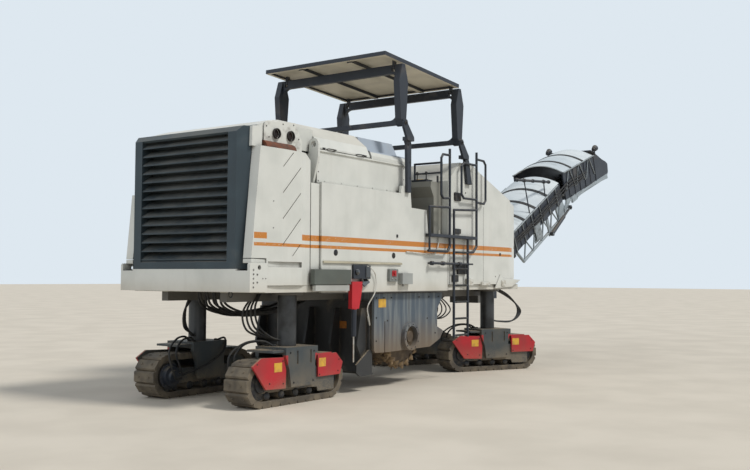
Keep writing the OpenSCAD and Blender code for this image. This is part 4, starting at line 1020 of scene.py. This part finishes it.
def guard_plates(mesh, unit):
    local = unit_frame(unit)
    for x, z in ((-0.455, 0.52), (0.48, 0.525)):
        plate(mesh, within(local, x, GUARD_FACE, z), local[2], UP, 0.155, 0.12, 0.003, 0.006, 0.001)


for unit in UNITS:
    body = "track_unit_" + unit
    piece("shoe_bolts_" + unit, body, finishes["track_steel"], "track_steel", shoe_bolts, unit)
    piece("unit_gear_" + unit, body, dark_steel, "track_frame_grey", unit_gear, unit)
    piece("drive_motor_" + unit, body, finishes["black_paint"], "track_frame_grey", unit_motor, unit)
    piece("unit_hoses_" + unit, body, rubber, "black_metal", unit_hoses, unit)
    piece("guard_plates_" + unit, body, yellow, "track_frame_grey", guard_plates, unit)

# %% [markdown]
# The hoses from the machine to a unit hang beside its column. More hoses sag under the rear frame, from
# its cross member to the drum housing.

# %% Hoses beside the columns and under the belly
LEG_HOSES = {
    # points along, inward and up
    "rear": ((-0.3, 0.26, 1.5), (-0.42, 0.26, 1.3), (-0.4, 0.22, 1.06), (-0.24, 0.14, 0.9), (-0.12, 0.06, 0.85)),
    "front": ((0.44, 0.05, 1.508), (0.8, 0.02, 1.38), (1.12, 0.0, 1.17), (1.12, 0.0, 0.98), (0.86, 0.0, 0.872),
              (0.4, 0.0, 0.885), (0.12, 0.0, 0.92)),
}
HOSE_GAP = 0.034
BELLY_HOSES = (-0.24, -0.17, -0.1, -0.03, 0.04, 0.11, 0.18, 0.24)
CEILING = 1.508


def leg_hoses(mesh, unit):
    along, across, steered = UNITS[unit]
    inward = -math.copysign(1.0, across)
    for k in range(4):
        spread = (k - 1.5) * HOSE_GAP
        route = [at(along + a * (1 + 0.1 * k * (i > 0)), across + inward * (b + spread), z - 0.02 * k * (0 < i < 3))
                 for i, (a, b, z) in enumerate(LEG_HOSES[unit.split("_")[0]])]
        tube(mesh, curved(route), 0.014)


def belly_hoses(mesh):
    for k, y in enumerate(BELLY_HOSES):
        sag = 0.02 + 0.02 * (k % 3)
        points = [at(0.5 + 0.05 * (k % 2), y, CEILING), at(0.62, y, 1.34 - sag), at(1.1, y + 0.03, 1.22 - sag),
                  at(1.8, y, 1.26 - sag), at(2.3, y - 0.02, 1.38 - sag * 0.5), at(2.42, y, CEILING)]
        tube(mesh, curved(points), 0.017)


piece("belly_hoses", "chassis", rubber, "black_metal", belly_hoses)
for unit in UNITS:
    along, across, steered = UNITS[unit]
    hoses = piece("leg_hoses_" + unit, None, rubber, "black_metal", leg_hoses, unit)
    at(along, across, 1.480)
    at(along, across, 0.900)
    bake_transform(hoses)

# %% [markdown]
# The canopy's pivots are bolted, and a small hook hangs under the rear portal. The hood has grab handles
# and catches. The exhaust's outlets have rolled lips and dark throats, and a tow ring hangs under the rear
# beam, which also carries a few small fittings.

# %% Canopy, hood, exhaust and rear beam
PIVOTS = ((3.4, 4.13), (5.15, 4.03))
POST_BOLTS = ((0.15, -0.33), (0.21, -0.6), (0.21, -0.85))
CATCHES = tuple((x, 1.125, 3.527, 0.05, 0.022, 0.014, 0.004, 0.003) for x in (1.6, 2.6))
OUTLETS = (0.655, 0.945)
OUTLET_Z = 3.62
HANDLE = ((-0.08, 0.0, 3.522), (-0.08, 0.045, 3.524), (0.08, 0.045, 3.524), (0.08, 0.0, 3.522))
THROATS = tuple(((x, -1.0545, OUTLET_Z), RIGHT, ((0.06, 0.0), (0.06, 0.001), (0.03, 0.002)), 24) for x in OUTLETS)
BEAM_KNOBS = (
    ((0.012, 0.687, 1.614), -FORE, ((0.02, 0.0), (0.02, 0.008), (0.012, 0.011)), 16),
    ((0.012, 0.057, 1.869), -FORE, ((0.024, 0.0), (0.024, 0.006), (0.014, 0.011)), 16),
)


def pivot_bolts(mesh):
    for x, z in PIVOTS:
        for side in BOTH:
            turned(mesh, at(x, side * 1.33, z), LEFT * side, ((0.04, 0.0), (0.04, 0.006), (0.034, 0.008)), 20)
            bolts_at(mesh, side, 1.336, 0.026, [(x, z)])
            bolts_at(mesh, side, 1.275, 0.014, [(x + dx, z + dz) for dx, dz in POST_BOLTS])


def hood_handles(mesh):
    for side in BOTH:
        for x in (1.75, 2.45):
            tube(mesh, curved([at(x + dx, side * (1.127 + out), z) for dx, out, z in HANDLE], 5), 0.007)
    side_plates(mesh, BOTH, CATCHES)


def outlet_lips(mesh):
    for x in OUTLETS:
        tube(mesh, arc(at(x, -1.089, OUTLET_Z), FORE * 0.066, UP * 0.066, 32), 0.005, 6)


def beam_fittings(mesh):
    turned_rows(mesh, BEAM_KNOBS)
    plate(mesh, at(0.01, -0.727, 1.663), -FORE, UP, 0.022, 0.085, 0.009, 0.008, 0.003)


piece("pivot_bolts", "chassis", dark_steel, "black_metal", pivot_bolts)
piece("portal_hook", "rear_portal", bright, "black_metal", tube,
      arc(at(3.37, -0.3, 4.178), FORE * 0.07, UP * -0.045, 12, 0.5), 0.006)
piece("hood_handles", "hood_body", dark_steel, "body_white", hood_handles)
piece("outlet_lips", "chassis", finishes["burnt_rust"], "rusty_steel", outlet_lips)
piece("outlet_throats", "chassis", soot, "rusty_steel", turned_rows, THROATS)
piece("tow_ring", "chassis", dark_steel, "black_metal", tube,
      arc(at(0.1, -0.801, 1.48), LEFT * 0.032, UP * 0.036, 24), 0.008)
piece("beam_fittings", "chassis", dark_steel, "body_white", beam_fittings)

# %% [markdown]
# The operator stands between two consoles. Each has a blank screen, two levers and rows of buttons. The
# platform's floor has studs against slipping, made as one joined mesh.

# %% Platform and consoles
FLOOR_TOP = 2.35
CONSOLE_TOP = 3.36
STUD_STEP = 0.065
STUD_COLUMNS = 17
LEVER = ((0.03, 0.0), (0.026, 0.014), (0.01, 0.024), (0.008, 0.09), (0.02, 0.096), (0.024, 0.13), (0.014, 0.145))


def floor_studs(mesh):
    x = 3.9
    while x < 4.56:
        shift = STUD_STEP / 2 if round(x / STUD_STEP) % 2 else 0.0
        for k in range(-STUD_COLUMNS, STUD_COLUMNS + 1):
            turned(mesh, at(x, k * STUD_STEP + shift, FLOOR_TOP), UP, ((0.014, 0.0), (0.011, 0.004)), 8)
        x += STUD_STEP


def console_levers(mesh):
    for side in BOTH:
        for y in (0.76, 0.94):
            turned(mesh, at(4.62, side * y, CONSOLE_TOP - 0.002), UP, LEVER, 16)


def console_buttons(mesh):
    for side in BOTH:
        for i, j in ((i, j) for i in range(5) for j in range(3)):
            centre = at(4.555 + 0.03 * j, side * (0.8 + 0.025 * i), CONSOLE_TOP)
            turned(mesh, centre, UP, ((0.008, 0.0), (0.008, 0.006), (0.006, 0.008)), 10)


def console_screens(mesh):
    for side in BOTH:
        plate(mesh, at(4.672, side * 0.85, CONSOLE_TOP), UP, FORE, 0.14, 0.08, 0.012, 0.01, 0.004)


piece("floor_studs", "chassis", dark_steel, "black_metal", floor_studs)
piece("console_levers", "chassis", rubber, "black_metal", console_levers)
piece("console_buttons", "chassis", yellow, "console_grey", console_buttons)
piece("console_screens", "chassis", screen, "console_grey", console_screens)

# %% [markdown]
# A rubber belt with raised cleats lies on the slide of each conveyor section, and idlers carry it. Straps
# cross the arched covers, and pale rails with stiffeners run along both sides. On the right hang a loose
# panel and the hoses, which pass from the lower section to the upper one. The head has two work lamps, and
# a bar with clamps stands over the covers of the lower section.

# %% Conveyor sections
BELT_HALF = 0.395
CLEAT_STEP = 0.2
IDLER_HALF = 0.58
COVER_HALF = 0.62
COVER_RISE = 0.19
STRAP = ((-0.045, 0.0), (-0.04, 0.012), (0.04, 0.012), (0.045, 0.0))
STRAP_STEPS = 12
STIFFENERS = 6
LAMP_TILT = 80
LAMP = ((0.066, 0.0), (0.066, 0.004), (0.05, 0.012), (0.02, 0.016))
CONVEYOR_HOSES = (0.52, 0.46, 0.4)
HOSE_STRETCHES = (
    # section, lengths along it, height over the other one, and how fast the hoses wave
    (LOWER, (0.5, 1.2, 1.9, 2.5, 2.9), 0.0, 5),
    (UPPER, (0.35, 0.9, 1.5), 0.06, 4),
)


def section_frame(section):
    """The origin of a section and its directions along, to the left and over."""
    x0, z0, angle = section
    cos, sin = math.cos(math.radians(angle)), math.sin(math.radians(angle))
    return at(x0, 0.0, z0), Vector((cos, 0.0, sin)), LEFT, Vector((-sin, 0.0, cos))


def belt(mesh, section, start, end, height):
    """A belt on its slide, with cleats that rise from the middle to both edges as a wide V."""
    local = section_frame(section)
    middle = within(local, (start + end) / 2, 0.0, height)
    plate(mesh, middle, local[3], local[1], 2 * BELT_HALF, end - start, 0.008, 0.01, 0.003)
    for k in range(int((end - start - 0.3) / CLEAT_STEP)):
        u = start + 0.1 + k * CLEAT_STEP
        low = within(local, u, 0.0, height + 0.012)
        for side in BOTH:
            bar(mesh, low, within(local, u + 0.14, side * (BELT_HALF - 0.03), height + 0.012), 0.01, 6)


def idlers(mesh, section, places, height):
    width = 2 * IDLER_HALF
    for u in places:
        centre = within(section_frame(section), u, -IDLER_HALF, height)
        turned(mesh, centre, LEFT, ((0.02, 0.0), (0.045, 0.004), (0.045, width - 0.004), (0.02, width)), 18)


def lamp_faces(mesh):
    local = section_frame(UPPER)
    turn = math.radians(LAMP_TILT)
    out = local[1] * math.sin(turn) + local[3] * math.cos(turn)
    for side in BOTH:
        turned(mesh, within(local, 2.14, side * 0.605, 0.96) + out * 0.088, out, LAMP, 24)


def guide_bar(mesh):
    """A bar with clamps over the right side of the lower section, on two stands."""
    start, end = at(8.6, -0.6, 3.735), at(10.28, -0.6, 3.835)
    local = section_frame(LOWER)
    bar(mesh, start, end, 0.028, 10)
    for share in (0.25, 0.82):
        head = start.lerp(end, share)
        foot = within(local, (head - local[0]).dot(local[1]) - 0.1, -0.606, 0.7)
        bar(mesh, foot, head, 0.013)
        clamp(mesh, head, 0.036, 0.042, 0.04)
    for share in (0.05, 0.5, 0.97):
        clamp(mesh, start.lerp(end, share), 0.034, 0.04, 0.03)


def cover_straps(mesh, section, places, height):
    """Flat rubber straps from side to side over the joints of the arched covers."""
    local = section_frame(section)
    radius = (COVER_HALF ** 2 + COVER_RISE ** 2) / (2 * COVER_RISE)
    half_turn = math.asin(COVER_HALF / radius)
    for u in places:
        middle = within(local, u, 0.0, height + COVER_RISE - radius)
        rings = []
        for k in range(2 * STRAP_STEPS + 1):
            turn = half_turn * (k / STRAP_STEPS - 1)
            away = LEFT * math.sin(turn) + local[3] * math.cos(turn)
            rings.append([mesh.verts.new(middle + local[1] * a + away * (radius + b)) for a, b in STRAP])
        join_rings(mesh, rings)


def edge_rails(mesh, section, start, end, height, slope=0.0):
    """A pale rail along the top edge of both sides, and stiffeners under it."""
    local = section_frame(section)
    for side in BOTH:
        bar(mesh, *[within(local, u, side * 0.64, height) for u in (start, end)], 0.016, 10)
        for k in range(STIFFENERS):
            u = start + 0.15 + (end - start - 0.3) * k / (STIFFENERS - 1)
            lean = slope * (1 if k % 2 else -1)
            bar(mesh, within(local, u + lean, side * 0.634, height - 0.44),
                within(local, u - lean, side * 0.634, height - 0.01), 0.012)


def conveyor_hoses(mesh):
    for k, height in enumerate(CONVEYOR_HOSES):
        points = []
        for section, places, lift, wave in HOSE_STRETCHES:
            local = section_frame(section)
            heights = [height + lift + 0.02 * math.sin(wave * u + k) for u in places]
            points += [within(local, u, 0.004 * k - 0.655, over) for u, over in zip(places, heights)]
        for end in (points[0], points[-1]):
            end.y += 0.045
        tube(mesh, curved(points), 0.013)


piece("edge_rails_lower", "lower_conveyor", pale, "black_metal", edge_rails, LOWER, 0.5, 3.1, 0.69)
piece("edge_rails_upper", "upper_conveyor", pale, "black_metal", edge_rails, UPPER, 0.12, 1.95, 0.84, 0.12)
lower_frame = section_frame(LOWER)
piece("side_panel", "lower_conveyor", pale, "console_grey", plate,
      within(lower_frame, 1.72, -0.64, 0.205), RIGHT, lower_frame[3], 0.29, 0.36, 0.012, 0.02, 0.004)
hoses = piece("conveyor_hoses", None, rubber, "black_metal", conveyor_hoses)
at(10.75, -0.62, 3.55)
at(11.55, -0.62, 3.90)
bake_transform(hoses)
piece("belt_lower", "lower_conveyor", rubber, "black_metal", belt, LOWER, 0.36, 3.2, 0.3405)
piece("belt_upper", "upper_conveyor", rubber, "black_metal", belt, UPPER, 0.13, 2.6, 0.2905)
piece("idlers_lower", "lower_conveyor", bright, "black_metal", idlers, LOWER, (0.62, 1.45, 2.1, 2.75), 0.268)
piece("idlers_upper", "upper_conveyor", bright, "black_metal", idlers, UPPER, (0.45, 1.15, 1.85), 0.215)
piece("lamp_faces", "upper_conveyor", glass, "black_metal", lamp_faces)
piece("guide_bar", "lower_conveyor", finishes["black_paint"], "black_metal", guide_bar)
piece("cover_straps_lower", "lower_conveyor", rubber, "black_metal", cover_straps, LOWER, (1.245, 1.845, 2.505), 0.7)
piece("cover_straps_upper", "upper_conveyor", rubber, "black_metal", cover_straps, UPPER, (0.58, 1.295), 0.85)

# %% [markdown]
# A grey cable hangs in a loop from the sensor gear to the edge plate, which moves up and down. The
# ladder's rungs have ribbed sleeves.

# %% Side cable and rung sleeves
CABLE_ROUTE = ((2.48, 1.88), (2.65, 1.8), (2.72, 1.65), (2.66, 1.48), (2.51, 1.28), (2.51, 1.11), (2.57, 1.01),
               (2.66, 1.13))
LADDER_Y = 1.3
RUNGS = 6
RUNG_GAP = 0.28
SLEEVE = tuple((0.0165 if k % 2 else 0.0185, 0.018 * k) for k in range(20))


def side_cable(mesh):
    points = [at(x, -1.262 - 0.02 * math.sin(3 * i), z) for i, (x, z) in enumerate(CABLE_ROUTE)]
    points[-1].y = -1.145
    tube(mesh, curved(points, 8), 0.009)


def rung_sleeves(mesh):
    for side in BOTH:
        for i in range(1, RUNGS + 1):
            turned(mesh, at(4.994, side * LADDER_Y, FLOOR_TOP + 0.075 - i * RUNG_GAP), FORE, SLEEVE, 14)


cable = piece("side_cable", None, white, "console_grey", side_cable)
at(2.60, -1.25, 1.600)
at(2.60, -1.25, 1.120)
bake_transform(cable)
piece("rung_sleeves", "chassis", rubber, "black_metal", rung_sleeves)

# %% [markdown]
# The camera stands behind the machine's right rear corner, a little below the deck's height. A view
# direction and a slight roll give its three axes, which become the columns of its matrix.

# %% Camera
CAMERA_PLACE = Vector((rear_x - 8.648, -9.248, 1.715))
YAW = math.radians(35.2)
PITCH = math.radians(2.60)
ROLL = math.radians(0.32)
SENSOR = 36.0
FOCAL_PIXELS = 930.0
PICTURE_WIDTH = 750.0

ahead = Vector((math.cos(PITCH) * math.cos(YAW), math.cos(PITCH) * math.sin(YAW), math.sin(PITCH)))
level = ahead.cross(UP).normalized()
above = level.cross(ahead)
right = level * math.cos(ROLL) + above * math.sin(ROLL)
up = above * math.cos(ROLL) - level * math.sin(ROLL)
camera = bpy.data.objects.new("camera", bpy.data.cameras.new("camera"))
camera.data.sensor_width = SENSOR
camera.data.lens = SENSOR * FOCAL_PIXELS / PICTURE_WIDTH
camera.data.clip_end = 500.0
camera.matrix_world = Matrix((right, up, -ahead)).transposed().to_4x4()
camera.location = CAMERA_PLACE
bpy.context.scene.collection.objects.link(camera)
bpy.context.scene.camera = camera
print("lens", round(camera.data.lens, 2))

# %% [markdown]
# The floor is one pale sheet. The sky is pale too where the camera or a reflection sees it, and
# dimmer as a light, so that the lamps keep the level.

# %% Floor and sky
FLOOR_HALF = 150.0


def pale_floor(place):
    clouds = noise(place, 0.8)
    grit = noise(place, 25.0, 5.0)
    colour = mix(ramp_up(clouds, 0.3, 0.7), look(214, 206, 192), look(204, 196, 182))
    return colour, 0.9 + 0.05 * clouds, grit * 0.3, None


bpy.ops.mesh.primitive_plane_add(size=2 * FLOOR_HALF)
floor = bpy.context.object
floor.name = "floor"
floor.data.materials.append(finish("pale_floor", pale_floor))

world = bpy.data.worlds.new("sky")
bpy.context.scene.world = world
world.use_nodes = True
world.node_tree.nodes.clear()
sky = Wire(world.node_tree)
rays = sky.node("ShaderNodeLightPath").socket.node.outputs
camera_ray, glossy_ray, passing_ray = [Wire(sky.tree, rays["Is %s Ray" % kind])
                                       for kind in ("Camera", "Glossy", "Transmission")]
shown = sky.node("ShaderNodeBackground", None, {"Color": look(222, 232, 240), "Strength": 1.0})
glow = sky.node("ShaderNodeBackground", None, {"Color": look(232, 238, 246), "Strength": 0.42})
both_skies = sky.node("ShaderNodeMixShader", None, {0: camera_ray | glossy_ray | passing_ray, 1: glow, 2: shown})
sky.node("ShaderNodeOutputWorld", None, {"Surface": both_skies})

# %% [markdown]
# A broad sun from the right rear gives the shape its light and shade, and a weaker one from the other
# side opens the shadows.

# %% Lamps
def sun(name, azimuth, elevation, strength, spread, tint):
    """A sun that shines from a compass direction, counted from +X towards +Y."""
    lamp = bpy.data.objects.new(name, bpy.data.lights.new(name, "SUN"))
    lamp.data.energy = strength
    lamp.data.angle = math.radians(spread)
    lamp.data.color = tint
    a, e = math.radians(azimuth), math.radians(elevation)
    source = Vector((math.cos(a) * math.cos(e), math.sin(a) * math.cos(e), math.sin(e)))
    lamp.rotation_mode = "QUATERNION"
    lamp.rotation_quaternion = source.to_track_quat("Z", "Y")
    bpy.context.scene.collection.objects.link(lamp)


sun("key_light", -75.0, 52.0, 2.1, 12.0, (1.0, 0.97, 0.92))
sun("fill_light", 170.0, 35.0, 0.55, 40.0, (0.92, 0.96, 1.0))
bpy.context.scene.view_settings.view_transform = "Standard"
